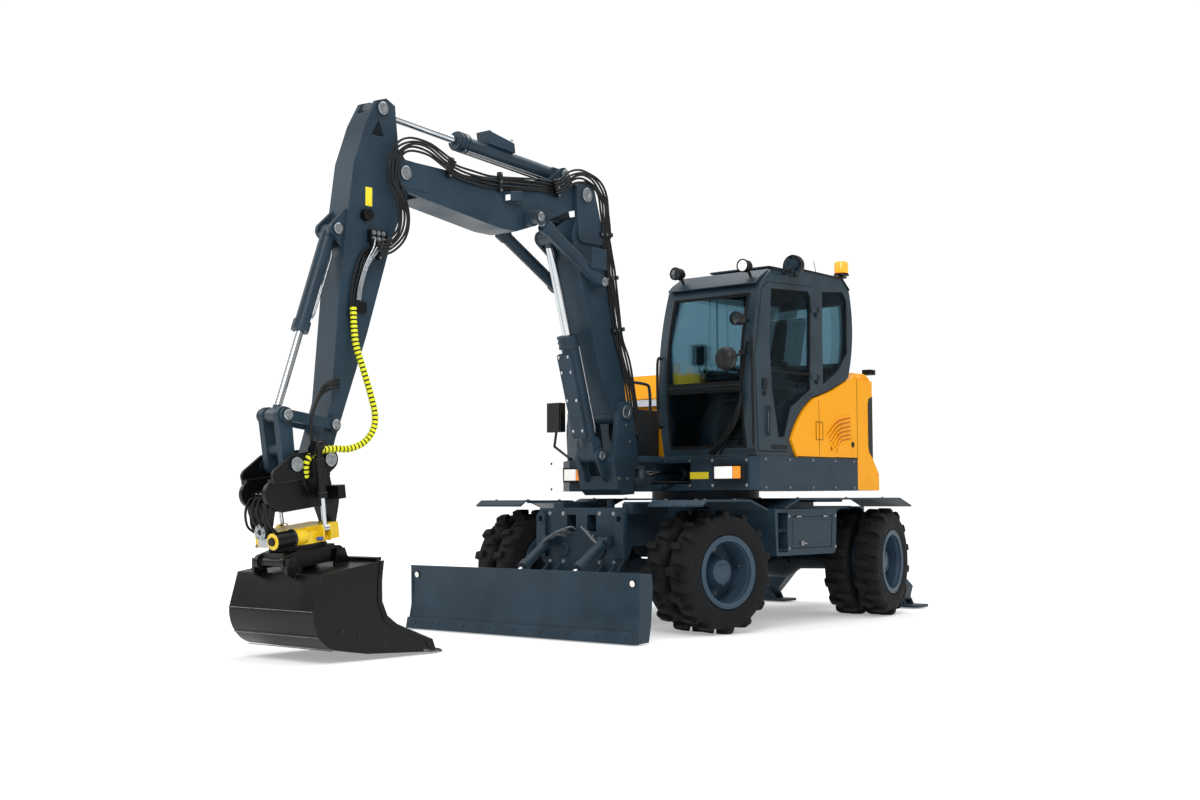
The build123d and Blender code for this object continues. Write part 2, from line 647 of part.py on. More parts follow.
def build_hood():
    """Build the engine hood lid over the tail and the right side."""
    with BuildPart() as hood:
        with BuildSketch(Plane.XY.offset(TAIL_TOP + SEAT)) as lid:
            tail_outline(TAIL_UPPER_RADIUS - 20, DECK_SEAM_Y + SEAT, DECK_HALF - 30)
        extrude(lid.sketch, amount=70)
        chamfer(hood.faces().sort_by(Axis.Z)[-1].edges(), 45)
        side_plate(
            [
                (-330, 1990), (-190, 2221), (DECK_SEAM_Y, 2221), (DECK_SEAM_Y, DECK_TOP + SEAT), (-330, DECK_TOP + SEAT),
            ],
            -DECK_HALF + 20, 150,
        )
        side_plate(
            [(-290, 1975), (-170, 2180), (DECK_SEAM_Y + 10, 2150), (DECK_SEAM_Y + 10, DECK_TOP), (-290, DECK_TOP)],
            -DECK_HALF + 60, 110, Mode.SUBTRACT,
        )
        for level in range(6):
            with Locations((-DECK_HALF + 30, 250, 1640 + 70 * level)):
                Box(60, 480, 30, mode=Mode.SUBTRACT)
        with Locations((-420, 120, 2280)):
            Cylinder(42, 150)
    save(hood, "engine_hood")


def build_engine():
    """Build the engine as one block at its real place and size."""
    with BuildPart() as engine:
        with Locations((-100, 1000, 1450)):
            Box(1150, 560, 640, align=(Align.CENTER, Align.CENTER, Align.MIN))
    save(engine, "engine")


# The curved seam between the cab's rear lower edge and the left side cover, (y, z)
SEAM_START = (-300.0, DECK_TOP + SEAT)
SEAM_NOSE = (-388.0, 1575.0)
SEAM_MID = (-14.0, 1950.0)
SEAM_REAR = (571.0, 2150.0)


def build_left_cover():
    """Build the left side cover behind the cab door, with its slanted louvres."""
    with BuildPart() as cover:
        with BuildSketch(Plane.YZ.offset(CAB_INNER_X)) as panel:
            with BuildLine():
                Polyline((DECK_SEAM_Y, DECK_TOP + SEAT), SEAM_START, SEAM_NOSE)
                ThreePointArc(SEAM_NOSE, (-245, 1780), SEAM_MID)
                ThreePointArc(SEAM_MID, (300, 2040), SEAM_REAR)
                Polyline(SEAM_REAR, (DECK_SEAM_Y, 2200), (DECK_SEAM_Y, DECK_TOP + SEAT))
            make_face()
        extrude(panel.sketch, amount=DECK_HALF - CAB_INNER_X)
        for slot in range(6):
            y = 230 + 58 * slot
            side_plate(
                [
                    (y, 1500 + 14 * slot), (y + 34, 1500 + 14 * slot), (y + 60, 1640 + 26 * slot),
                    (y + 26, 1640 + 26 * slot),
                ],
                DECK_HALF - 35, DECK_HALF + 10, Mode.SUBTRACT,
            )
    save(cover, "left_cover")


def build_tank():
    """Build the fuel tank and battery box on the right front of the deck."""
    with BuildPart() as tank:
        plan_plate(
            [(-800, -860), (-260, -860), (-260, -336), (-DECK_HALF + 25, -336), (-DECK_HALF + 25, -590)],
            DECK_TOP + SEAT, 1880,
        )
        fillet(tank.edges().filter_by(Axis.Z), 40)
        with Locations((-700, -600, 1900)):
            Cylinder(55, 40)
    save(tank, "fuel_tank")


# Cab: side outline (y, z) with its windscreen bowed forward
CAB_FRONT_LOW = (-880.0, DECK_TOP + SEAT)
CAB_FRONT_MID = (-945.0, 2250.0)
CAB_FRONT_TOP = (-800.0, 2880.0)
DOOR_REAR_Y = -6.0
DOOR_GAP = 7.0
GLASS_GAP = 0.4
HINGE = (CAB_OUTER_X + 16, 47.0)
HINGE_LEVELS = (2110.0, 2700.0)
ROOF_TOP = 3065.0


def cab_outline(inset=0.0):
    """Draw the cab's side outline, shrunk by an inset."""
    with BuildLine() as outline:
        ThreePointArc(CAB_FRONT_LOW, CAB_FRONT_MID, CAB_FRONT_TOP)
        Polyline(CAB_FRONT_TOP, (-640, 3010), (-200, ROOF_TOP), (480, ROOF_TOP - 10), (600, 2960))
        ThreePointArc((600, 2960), (652, 2520), (571, 2162))
        ThreePointArc((571, 2162), (300, 2052), (-18, 1962))
        ThreePointArc((-18, 1962), (-255, 1788), (-400, 1575))
        Polyline((-400, 1575), (-312, DECK_TOP + SEAT), CAB_FRONT_LOW)
    make_face(outline.edges())
    if inset:
        offset(amount=-inset, mode=Mode.REPLACE)


DOOR_OUTLINE = [
    (-862, 1470), (-420, 1470), (-452, 1580), (-330, 1800), (-130, 1955), (DOOR_REAR_Y, 2000), (40, 2860),
    (-20, 2930), (-700, 2900), (-790, 2830), (-900, 2250),
]
QUARTER_WINDOW = [(150, 2075), (400, 2210), (560, 2380), (560, 2860), (500, 2930), (150, 2900)]
RIGHT_WINDOW = [(-760, 1700), (-120, 2040), (500, 2240), (540, 2860), (-660, 2860), (-820, 2400)]
SCREEN_LEVELS = ((2040.0, 2790.0), (1510.0, 1985.0))
SCREEN_EDGE = 95.0
REAR_WINDOW = (110.0, 2270.0, 2830.0)
DOOR_WINDOW = [
    (-650, 1990), (-560, 1590), (-470, 1600), (-370, 1850), (-60, 2020), (-40, 2830), (-90, 2880), (-650, 2850),
    (-690, 2400),
]


def build_cab():
    """Build the hollow cab shell with its windscreen, door, rear and side openings."""
    with BuildPart() as cab:
        with BuildSketch(Plane.YZ.offset(CAB_INNER_X)) as outer:
            cab_outline()
        extrude(outer.sketch, amount=CAB_OUTER_X - CAB_INNER_X)
        with BuildSketch(Plane.YZ.offset(CAB_INNER_X + CAB_WALL)) as inner:
            cab_outline(CAB_WALL)
        extrude(inner.sketch, amount=CAB_OUTER_X - CAB_INNER_X - 2 * CAB_WALL, mode=Mode.SUBTRACT)
        # Windscreen, upper and lower pane
        for low, high in SCREEN_LEVELS:
            with Locations(((CAB_INNER_X + CAB_OUTER_X) / 2, -860, (low + high) / 2)):
                Box(CAB_OUTER_X - CAB_INNER_X - 2 * SCREEN_EDGE, 330, high - low, mode=Mode.SUBTRACT)
        side_plate(DOOR_OUTLINE, CAB_OUTER_X - CAB_WALL - 5, CAB_OUTER_X + 5, Mode.SUBTRACT)
        side_plate(QUARTER_WINDOW, CAB_OUTER_X - CAB_WALL - 5, CAB_OUTER_X + 5, Mode.SUBTRACT)
        side_plate(RIGHT_WINDOW, CAB_INNER_X - 5, CAB_INNER_X + CAB_WALL + 5, Mode.SUBTRACT)
        edge, low, high = REAR_WINDOW
        with Locations(((CAB_INNER_X + CAB_OUTER_X) / 2, 620, (low + high) / 2)):
            Box(CAB_OUTER_X - CAB_INNER_X - 2 * edge, 200, high - low, mode=Mode.SUBTRACT)
        # Fixed halves of the door hinges
        for level in HINGE_LEVELS:
            with Locations((HINGE[0], HINGE[1], level - 20)):
                Cylinder(12, 40)
            with Locations((CAB_OUTER_X + 6, HINGE[1] + 22, level - 20)):
                Box(14, 44, 40)
    save(cab, "cab_shell")


def pane_plate(outline, x_from, x_to):
    """Extrude a side pane that fills a window outline but for the glass gap."""
    with BuildSketch(Plane.YZ.offset(x_from)) as pane:
        with BuildLine():
            Polyline(*outline, close=True)
        make_face()
        offset(amount=-GLASS_GAP, mode=Mode.REPLACE)
    extrude(pane.sketch, amount=x_to - x_from)


def build_cab_glass():
    """Build the fixed panes of the cab."""
    with BuildPart() as glass:
        for low, high in SCREEN_LEVELS:
            with BuildSketch(Plane.YZ.offset(CAB_INNER_X + SCREEN_EDGE + GLASS_GAP)) as pane:
                with BuildLine():
                    ThreePointArc(CAB_FRONT_LOW, CAB_FRONT_MID, CAB_FRONT_TOP)
                    Line(CAB_FRONT_TOP, (CAB_FRONT_TOP[0] + 20, CAB_FRONT_TOP[1]))
                    ThreePointArc(
                        (CAB_FRONT_TOP[0] + 20, CAB_FRONT_TOP[1]), (CAB_FRONT_MID[0] + 20, CAB_FRONT_MID[1]),
                        (CAB_FRONT_LOW[0] + 20, CAB_FRONT_LOW[1]),
                    )
                    Line((CAB_FRONT_LOW[0] + 20, CAB_FRONT_LOW[1]), CAB_FRONT_LOW)
                make_face()
                with Locations((-880, (low + high) / 2)):
                    Rectangle(300, high - low - 2 * GLASS_GAP, mode=Mode.INTERSECT)
            extrude(pane.sketch, amount=CAB_OUTER_X - CAB_INNER_X - 2 * SCREEN_EDGE - 2 * GLASS_GAP)
        pane_plate(QUARTER_WINDOW, CAB_OUTER_X - 24, CAB_OUTER_X - 12)
        pane_plate(RIGHT_WINDOW, CAB_INNER_X + 12, CAB_INNER_X + 24)
        edge, low, high = REAR_WINDOW
        with Locations(((CAB_INNER_X + CAB_OUTER_X) / 2, 612, (low + high) / 2)):
            Box(CAB_OUTER_X - CAB_INNER_X - 2 * edge - 2 * GLASS_GAP, 12, high - low - 2 * GLASS_GAP)
    save(glass, "cab_glass")


def build_door():
    """Build the cab door frame, its handle bar and its pane."""
    with BuildPart() as door:
        with BuildSketch(Plane.YZ.offset(CAB_OUTER_X - 38)) as leaf:
            with BuildLine():
                Polyline(*DOOR_OUTLINE, close=True)
            make_face()
            offset(amount=-DOOR_GAP, mode=Mode.REPLACE)
            with BuildLine():
                Polyline(*DOOR_WINDOW, close=True)
            make_face(mode=Mode.SUBTRACT)
        extrude(leaf.sketch, amount=42)
        rod_between((CAB_OUTER_X + 24, -720, 1600), (CAB_OUTER_X + 24, -710, 1850), 11)
        for y, z in ((-719, 1612), (-711, 1838)):
            rod_between((CAB_OUTER_X, y, z), (CAB_OUTER_X + 24, y, z), 9)
        for level in HINGE_LEVELS:
            with Locations((HINGE[0], HINGE[1], level + 20.3)):
                Cylinder(12, 40)
            with Locations((HINGE[0] - 4, HINGE[1] - 48, level + 20.3)):
                Box(16, 96, 40)
    save(door, "cab_door")
    with BuildPart() as pane:
        pane_plate(DOOR_WINDOW, CAB_OUTER_X - 24, CAB_OUTER_X - 12)
    save(pane, "door_glass")


def build_interior():
    """Build the floor mat, seat, consoles, levers and steering column."""
    mid = (CAB_INNER_X + CAB_OUTER_X) / 2
    floor = DECK_TOP + CAB_WALL + 2 * SEAT
    with BuildPart() as interior:
        with Locations(Location((mid, -684, 2140), (18, 0, 0))):
            Cylinder(178, 24)
            Cylinder(152, 24, mode=Mode.SUBTRACT)
        with Locations((mid, -660, floor + 5)):
            Box(CAB_OUTER_X - CAB_INNER_X - 2 * CAB_WALL - 20, 300, 10)
        side_plate([(-600, floor + 10), (-560, 1900), (-400, 1940), (-480, 1640), (-520, floor + 10)], mid - 200, mid + 200)
        side_plate(
            [
                (-560, 1900), (-470, 1990), (-480, 2080), (-120, 2120), (80, 2130), (240, 2700), (250, 2790), (330, 2790),
                (340, 2690), (180, 2140), (60, 2075), (-100, 2040), (-330, 1950),
            ],
            mid - 230, mid + 230,
        )
        for x in (mid - 325, mid + 230):
            side_plate([(-560, 2140), (-560, 2200), (-60, 2230), (-40, 2120), (-350, 2060)], x, x + 95)
            with Locations((x + 47, -520, 2260)):
                Cylinder(16, 140)
        rod_between((mid, -800, floor + 12), (mid, -690, 2120), 42)
        with Locations(Location((mid, -688, 2130), (18, 0, 0))):
            Box(320, 46, 14)
    save(interior, "cab_interior")


def cab_front_y(z):
    """Return the y of the cab's bowed front at one height."""
    front = ThreePointArc(CAB_FRONT_LOW, CAB_FRONT_MID, CAB_FRONT_TOP, mode=Mode.PRIVATE)
    centre = front.arc_center
    return centre.X - math.sqrt(front.radius ** 2 - (z - centre.Y) ** 2)


def build_lamps():
    """Build the head lamps, work lamps and beacon."""
    with BuildPart() as lamps:
        for x_low, x_high in ((DECK_HALF - 380, DECK_HALF - 90), (-860, -630)):
            with Locations(((x_low + x_high) / 2, DECK_FRONT_Y - 35 - SEAT, 1296)):
                Box(x_high - x_low, 70, 130)
        for x, y, z in ((330, -800, 3030), (CAB_OUTER_X - 140, -800, 3030), (CAB_OUTER_X - 60, -1020, 2560)):
            rod_between((x, y - 60, z), (x, y + 10, z), 52)
        # Stays of the roof lamps stand square on the sloping roof front
        for x in (330, CAB_OUTER_X - 140):
            rod_between((x, -799, 3022), (x, -730.2, 2937.1), 12)
        rod_between((CAB_OUTER_X - 60, -1010, 2560), (CAB_OUTER_X - 60, cab_front_y(2560) - 3, 2560), 12)
        with Locations((CAB_OUTER_X - 50, 560, 3145)):
            Cylinder(62, 110)
        with Locations((CAB_OUTER_X - 50, 560, 3048)):
            Cylinder(18, 84)
    save(lamps, "lamps")


def build_mirrors():
    """Build the mirrors on their bent stays."""
    with BuildPart() as mirrors:
        for x, y, z in ((CAB_OUTER_X - 40, -1240, 2215), (CAB_OUTER_X + 110, -470, 3045)):
            with Locations((x, y, z)):
                Cylinder(92, 34, rotation=(90, 0, 0))
        rod_between((CAB_OUTER_X - 40, -1224, 2215), (CAB_OUTER_X - 50, cab_front_y(2290) - 5, 2290), 12)
        rod_between((CAB_OUTER_X + 50, -460, 2990), (CAB_OUTER_X + 0.3, -460, 2990), 11)
        rod_between((CAB_OUTER_X + 50, -460, 2982), (CAB_OUTER_X + 50, -460, 3035), 11)
        with Locations((-1075, -850, 1830)):
            Box(170, 60, 270)
        rod_between((-1075, -850, 1700), (-1100, -850, 1560), 12)
        rod_between((-1100, -850, 1565), (-880, -880, 1447), 12)
        with Locations((-880, -880, DECK_TOP + 12.3)):
            Cylinder(22, 24)
    save(mirrors, "mirrors")


# Swing post and the working arm
def build_swing_post():
    """Build the cast swing post with its hub, cheeks, cylinder ear and boom cylinder lugs."""
    cheek_in = BOOM_HALF + SIDE_GAP
    with BuildPart() as post:
        with BuildSketch(Plane.XY.offset(DECK_BOTTOM + 52)) as hub:
            with Locations((0, SWING_PIN_Y)):
                Circle(92)
            with Locations((0, -1330)):
                Rectangle(2 * cheek_in + 90, 60)
            make_hull()
        extrude(hub.sketch, amount=190)
        with Locations((0, SWING_PIN_Y, 1297)):
            Cylinder(80, 202 - 2 * PIN_GAP)
        side_plate(
            [(-1290, 1120), (-1290, 1455), (-1350, 1560), (-1500, 1560), (-1560, 1400), (-1500, 1160), (-1440, 1112)],
            -cheek_in - 45, cheek_in + 45,
        )
        side_plate([(-1250, 1700), (-1600, 1700), (-1600, 1520), (-1560, 1480), (-1250, 1480)],
                   -cheek_in, cheek_in, Mode.SUBTRACT)
        for side in (-1, 1):
            low, high = sorted((side * cheek_in, side * (cheek_in + 45)))
            rounded_link([BOOM_FOOT, (-1440, 1450), (-1330, 1440)], [92, 110, 90], low, high)
            low, high = sorted((side * 86, side * 116))
            rounded_link([BOOM_CYL_BASE, (-1490, 1330)], [62, 110], low, high)
            low, high = sorted((side * 116, side * 128))
            cross_pin(BOOM_CYL_BASE, 38, low, high)
            low, high = sorted((side * (cheek_in + 45), side * (cheek_in + 60)))
            cross_pin(BOOM_FOOT, 58, low, high)
        side_plate([(-1480, 1260), (-1480, 1380), (-1640, 1600), (-1760, 1500), (-1640, 1300)],
                   -84, 84, Mode.SUBTRACT)
        # Ears of the swing cylinder on the left side
        for z_low, z_high in ((1232, 1256), (1334, 1358)):
            with BuildSketch(Plane.XY.offset(z_low)) as ear:
                with Locations(SWING_EYE):
                    Circle(48)
                with Locations((100, -1300)):
                    Circle(60)
                make_hull()
            extrude(ear.sketch, amount=z_high - z_low)
        with BuildSketch(Plane.XY.offset(1257)) as slot:
            with Locations(SWING_EYE):
                Circle(120)
        extrude(slot.sketch, amount=76, mode=Mode.SUBTRACT)
    save(post, "swing_post")


def build_swing_cylinder():
    """Build the horizontal swing barrel in the deck pocket and its rod."""
    z = 1295.0
    start, end = (*SWING_BASE, z), (*SWING_EYE, z)
    with BuildPart() as barrel:
        with Locations(start):
            Cylinder(44, 70)
        rod_between(along(start, end, 30), along(start, end, 400), 46)
        rod_between(along(start, end, 350), along(start, end, 415), 54)
        rod_between(along(start, end, 100), along(start, end, 440), 25 + ROD_FIT, Mode.SUBTRACT)
        with Locations(start):
            Cylinder(22 + ROD_FIT, 100, mode=Mode.SUBTRACT)
    save(barrel, "swing_barrel")
    with BuildPart() as rod:
        rod_between(along(start, end, 250), along(end, start, 20), 25)
        with Locations(end):
            Cylinder(42, 76 - 2 * PIN_GAP)
    save(rod, "swing_rod")


def build_lower_boom():
    """Build the lower boom: foot, tapered box, knee cheeks and cylinder brackets."""
    with BuildPart() as boom:
        side_plate(
            [
                (-1318, 1830), (-1440, 2500), (-1560, 2960), (-1690, 3400), (-1830, 3440), (-1960, 3400),
                (-2020, 3230), (-1930, 2960), (-1850, 2700), (-1640, 2080), (-1500, 1800),
            ],
            -BOOM_HALF, BOOM_HALF,
        )
        cross_pin(BOOM_FOOT, 90, -BOOM_HALF - SIDE_GAP + PIN_GAP, BOOM_HALF + SIDE_GAP - PIN_GAP)
        # Room for the boom cylinder's rod eye and for the upper boom's tongue
        for side in (-1, 1):
            low, high = sorted((side * (UPPER_HALF + SIDE_GAP), side * (UPPER_HALF + SIDE_GAP + PLATE + 8)))
            rounded_link([KNEE, (-1700, 3250), (-1900, 3250)], [118, 60, 60], low, high)
            low, high = sorted((side * (UPPER_HALF + SIDE_GAP + PLATE + 8), side * (UPPER_HALF + SIDE_GAP + PLATE + 20)))
            cross_pin(KNEE, 56, low, high)
            low, high = sorted((side * 66, side * 92))
            rounded_link([BOOM_CYL_EYE, (-1990, 3330), (-1950, 3080)], [62, 50, 50], low, high)
            low, high = sorted((side * 92, side * 106))
            cross_pin(BOOM_CYL_EYE, 40, low, high)
            low, high = sorted((side * BOOM_HALF, side * (ADJUST_X - 50 - PIN_GAP)))
            cross_pin(ADJUST_BASE, 60, low, high)
        cross_pin(KNEE, 190, -UPPER_HALF - SIDE_GAP, UPPER_HALF + SIDE_GAP, Mode.SUBTRACT)
        cross_pin(BOOM_CYL_EYE, 110, -64, 64, Mode.SUBTRACT)
    save(boom, "lower_boom")


def build_boom_cylinder():
    """Build the lower boom's lift cylinder with its guard plate."""
    with BuildPart() as barrel:
        side_barrel(BOOM_CYL_BASE, BOOM_CYL_EYE, 0, 1020, 70, 38, 86 - PIN_GAP, 95)
        start, end = side_point(0, BOOM_CYL_BASE), side_point(0, BOOM_CYL_EYE)
        lower, upper = along(start, end, 170), along(start, end, 880)
        side_plate(
            [
                (lower[1] - 95, lower[2] - 20), (lower[1] - 60, lower[2]), (upper[1] - 60, upper[2]),
                (upper[1] - 95, upper[2] - 20),
            ],
            -72, 72,
        )
    save(barrel, "boom_barrel")
    with BuildPart() as rod:
        side_rod(BOOM_CYL_BASE, BOOM_CYL_EYE, 0, 620, 38, 58, 66 - PIN_GAP)
    save(rod, "boom_rod")


def build_upper_boom():
    """Build the upper boom: knee tongue, deep belly, nose fork and brackets."""
    with BuildPart() as boom:
        side_plate(
            [
                (-1800, 3640), (-1960, 3672), (-2180, 3650), (-3180, 3548), (-3740, 3556), (-3900, 3500),
                (-3900, 3390), (-3810, 3324), (-2850, 3189), (-2660, 3186), (-2440, 3260), (-1900, 3495),
            ],
            -UPPER_HALF, UPPER_HALF,
        )
        cross_pin(KNEE, 110, -UPPER_HALF - SIDE_GAP + PIN_GAP, UPPER_HALF + SIDE_GAP - PIN_GAP)
        # The nose is a fork round the arm's boss
        cross_pin(ARM_PIVOT, 225, -ARM_HALF - SIDE_GAP, ARM_HALF + SIDE_GAP, Mode.SUBTRACT)
        side_plate([(-3700, 3465), (-3370, 3545), (-3370, 3700), (-3900, 3700)],
                   -ARM_HALF - SIDE_GAP, ARM_HALF + SIDE_GAP, Mode.SUBTRACT)
        cross_pin(ARM_CYL_BASE, 80, -62, 62, Mode.SUBTRACT)
        for side in (-1, 1):
            low, high = sorted((side * (ARM_HALF + SIDE_GAP), side * (UPPER_HALF + 6)))
            rounded_link([ARM_PIVOT, (-3640, 3450)], [100, 100], low, high)
            low, high = sorted((side * (UPPER_HALF + 6), side * (UPPER_HALF + 22)))
            cross_pin(ARM_PIVOT, 48, low, high)
            low, high = sorted((side * UPPER_HALF, side * (ADJUST_X - 35 - PIN_GAP)))
            cross_pin(ADJUST_EYE, 66, low, high)
            low, high = sorted((side * 62, side * 92))
            rounded_link([ARM_CYL_BASE, (-1980, 3640), (-2200, 3640)], [62, 60, 50], low, high)
            low, high = sorted((side * 92, side * 106))
            cross_pin(ARM_CYL_BASE, 38, low, high)
    save(boom, "upper_boom")


def build_adjust_cylinders():
    """Build the pair of adjust cylinders beside the boom."""
    with BuildPart() as barrels:
        for x in (-ADJUST_X, ADJUST_X):
            side_barrel(ADJUST_BASE, ADJUST_EYE, x, 780, 50, 30, 50)
    save(barrels, "adjust_barrels")
    with BuildPart() as rods:
        for x in (-ADJUST_X, ADJUST_X):
            side_rod(ADJUST_BASE, ADJUST_EYE, x, 200, 30, 52, 35)
            low, high = sorted((x + math.copysign(35, x), x + math.copysign(50, x)))
            cross_pin(ADJUST_EYE, 34, low, high)
    save(rods, "adjust_rods")


def build_arm():
    """Build the arm: tapered box, twin top plates, boss and linkage lugs."""
    with BuildPart() as arm:
        side_plate(
            [
                (-3905, 3950), (-3990, 3990), (-4080, 3960), (-4180, 3780), (-4290, 3480), (-4345, 3100),
                (-4405, 2600), (-4480, 1760), (-4604, 1380), (-4490, 1310), (-4440, 1500), (-4160, 2250),
                (-3930, 2960), (-3800, 3250), (-3745, 3420), (-3770, 3540), (-3870, 3640),
            ],
            -ARM_HALF, ARM_HALF,
        )
        # Twin plates at the top leave room for the arm cylinder's rod eye
        side_plate(
            [
                (-3700, 4100), (-4040, 4100), (-4100, 3960), (-4150, 3800), (-4180, 3700), (-3700, 3700),
            ],
            -66, 66, Mode.SUBTRACT,
        )
        side_plate([(-4005, 3700), (-4130, 3700), (-4060, 3820)], -ARM_HALF - 1, ARM_HALF + 1, Mode.SUBTRACT)
        for side in (-1, 1):
            low, high = sorted((side * ARM_HALF, side * (ARM_HALF + 14)))
            cross_pin(ARM_CYL_EYE, 44, low, high)
            low, high = sorted((side * 60, side * 88))
            rounded_link([BUCKET_CYL_BASE, (-4300, 3090), (-4300, 2880)], [58, 60, 60], low, high)
            low, high = sorted((side * 88, side * 100))
            cross_pin(BUCKET_CYL_BASE, 36, low, high)
        cross_pin(ARM_PIVOT, 90, -ARM_HALF - SIDE_GAP + PIN_GAP, ARM_HALF + SIDE_GAP - PIN_GAP)
        cross_pin(ARM_TIP, 66, -ARM_HALF, ARM_HALF)
        cross_pin(ARM_TIP, 40, -HITCH_EAR_IN + PIN_GAP, HITCH_EAR_IN - PIN_GAP)
        cross_pin(GUIDE_PIN, 46, -ARM_HALF - SIDE_GAP + PIN_GAP, ARM_HALF + SIDE_GAP - PIN_GAP)
        rounded_link([BUCKET_CYL_BASE, along(BUCKET_CYL_BASE, LINK_TOP, 320)], [98, 80], -58, 58, Mode.SUBTRACT)
    save(arm, "arm")


def build_arm_cylinder():
    """Build the arm cylinder with its stone guard."""
    with BuildPart() as barrel:
        side_barrel(ARM_CYL_BASE, ARM_CYL_EYE, 0, 1150, 60, 32, 62 - PIN_GAP, 85)
        start, end = side_point(0, ARM_CYL_BASE), side_point(0, ARM_CYL_EYE)
        lower, upper = along(start, end, 560), along(start, end, 860)
        side_plate(
            [(lower[1], lower[2] + 45), (lower[1] - 10, lower[2] + 120), (upper[1], upper[2] + 150),
             (upper[1] + 20, upper[2] + 45)],
            -70, 70,
        )
    save(barrel, "arm_barrel")
    with BuildPart() as rod:
        side_rod(ARM_CYL_BASE, ARM_CYL_EYE, 0, 765, 32, 56, 66 - PIN_GAP)
    save(rod, "arm_rod")


def build_bucket_linkage():
    """Build the guide links, the H link and the bucket cylinder."""
    side_in = ARM_HALF + SIDE_GAP
    with BuildPart() as guides:
        for side in (-1, 1):
            low, high = sorted((side * side_in, side * (side_in + 26)))
            rounded_link([GUIDE_PIN, LINK_TOP], [38, 38], low, high)
            cross_pin(GUIDE_PIN, 52, low, high)
            cross_pin(LINK_TOP, 50, low, high)
            low, high = sorted((side * (side_in + 26), side * (side_in + 40)))
            cross_pin(GUIDE_PIN, 34, low, high)
            cross_pin(LINK_TOP, 34, low, high)
    save(guides, "guide_links")
    with BuildPart() as link:
        for side in (-1, 1):
            low, high = sorted((side * 58, side * (ARM_HALF + 4)))
            rounded_link([LINK_TOP, HITCH_PIN], [58, 52], low, high)
            low, high = sorted((side * (ARM_HALF + 4), side * (ARM_HALF + SIDE_GAP - PIN_GAP)))
            cross_pin(LINK_TOP, 40, low, high)
        middle = along(LINK_TOP, HITCH_PIN, 232)
        cross_pin(middle, 42, -60, 60)
    save(link, "bucket_link")
    with BuildPart() as barrel:
        side_barrel(BUCKET_CYL_BASE, LINK_TOP, 0, 770, 52, 30, 60 - PIN_GAP)
    save(barrel, "bucket_barrel")
    with BuildPart() as rod:
        side_rod(BUCKET_CYL_BASE, LINK_TOP, 0, 400, 30, 50, 58 - PIN_GAP)
    save(rod, "bucket_rod")


# Tool head, drawn level about its own origin and then pitched and set in place
def place_tool_piece(piece, name):
    """Pitch a tool piece, set it in place and save it."""
    with BuildPart() as placed:
        add(Location((0, TILT_ORIGIN[0], TILT_ORIGIN[1]), (TOOL_PITCH, 0, 0)) * piece)
    save(placed, name)


def tool_frame(pin):
    """Return a side-view point of the machine in the tool head's own (y, z)."""
    angle = math.radians(TOOL_PITCH)
    dy, dz = pin[0] - TILT_ORIGIN[0], pin[1] - TILT_ORIGIN[1]
    return (dy * math.cos(angle) + dz * math.sin(angle), -dy * math.sin(angle) + dz * math.cos(angle))


TILT_HALF = 275.0
TILT_CYL_Y = 60.0
TILT_TOP = (250.0, 545.0)
TILT_EYE = (230.0, -25.0)
TILT_EYE_HALF = 25.0


def build_hitch():
    """Build the head's top frame: ear plates, tilt bearings and the cylinder beam."""
    rear, front = tool_frame(ARM_TIP), tool_frame(HITCH_PIN)
    ear_in, ear_out = HITCH_EAR_IN, HITCH_EAR_IN + 20
    with BuildPart() as hitch:
        for side in (-1, 1):
            # The ears stand wide at the pins, outside the guide links, and step in above the tilting housing
            low, high = sorted((side * ear_in, side * ear_out))
            rounded_link([rear, front, (-240, 370), (150, 370)], [72, 72, 50, 50], low, high)
            low, high = sorted((side * HITCH_FOOT_IN, side * ear_out))
            side_plate([(-285, 320), (195, 320), (195, 350), (-285, 350)], low, high)
            low, high = sorted((side * HITCH_FOOT_IN, side * (HITCH_FOOT_IN + 30)))
            rounded_link(
                [(-240, 300), (170, 300), (-250, 250), (-200, 160), (200, 160)], [50, 50, 90, 40, 40], low, high,
            )
            low, high = sorted((side * ear_out, side * (ear_out + 14)))
            cross_pin(rear, 46, low, high)
            cross_pin(front, 46, low, high)
            low, high = sorted((side * (ARM_HALF + 4 + PIN_GAP), side * (ear_in + 1)))
            cross_pin(front, 40, low, high)
            for y in (TILT_CYL_Y - TILT_EYE_HALF - PIN_GAP - 12, TILT_CYL_Y + TILT_EYE_HALF + PIN_GAP):
                front_plate(
                    [
                        (side * (ear_out - 1), 430), (side * (ear_out - 1), 520), (side * (TILT_TOP[0] - 25), 575),
                        (side * (TILT_TOP[0] + 20), 575), (side * (TILT_TOP[0] + 32), 545),
                        (side * (TILT_TOP[0] + 12), 518),
                    ],
                    y, y + 12,
                )
        with Locations((0, 0, 160)):
            Box(2 * HITCH_FOOT_IN + 60, 480, 60)
        with Locations((0, 165, 210)):
            Box(640, 60, 92)
        for y in (-TILT_HALF, TILT_HALF):
            front_plate([(-120, 190), (120, 190), (120, 130), (55, -45), (-55, -45), (-120, 130)], y - 22, y + 22)
            with Locations((0, y, 0)):
                Cylinder(40, 60, rotation=(90, 0, 0))
    place_tool_piece(hitch.part, "tool_hitch")


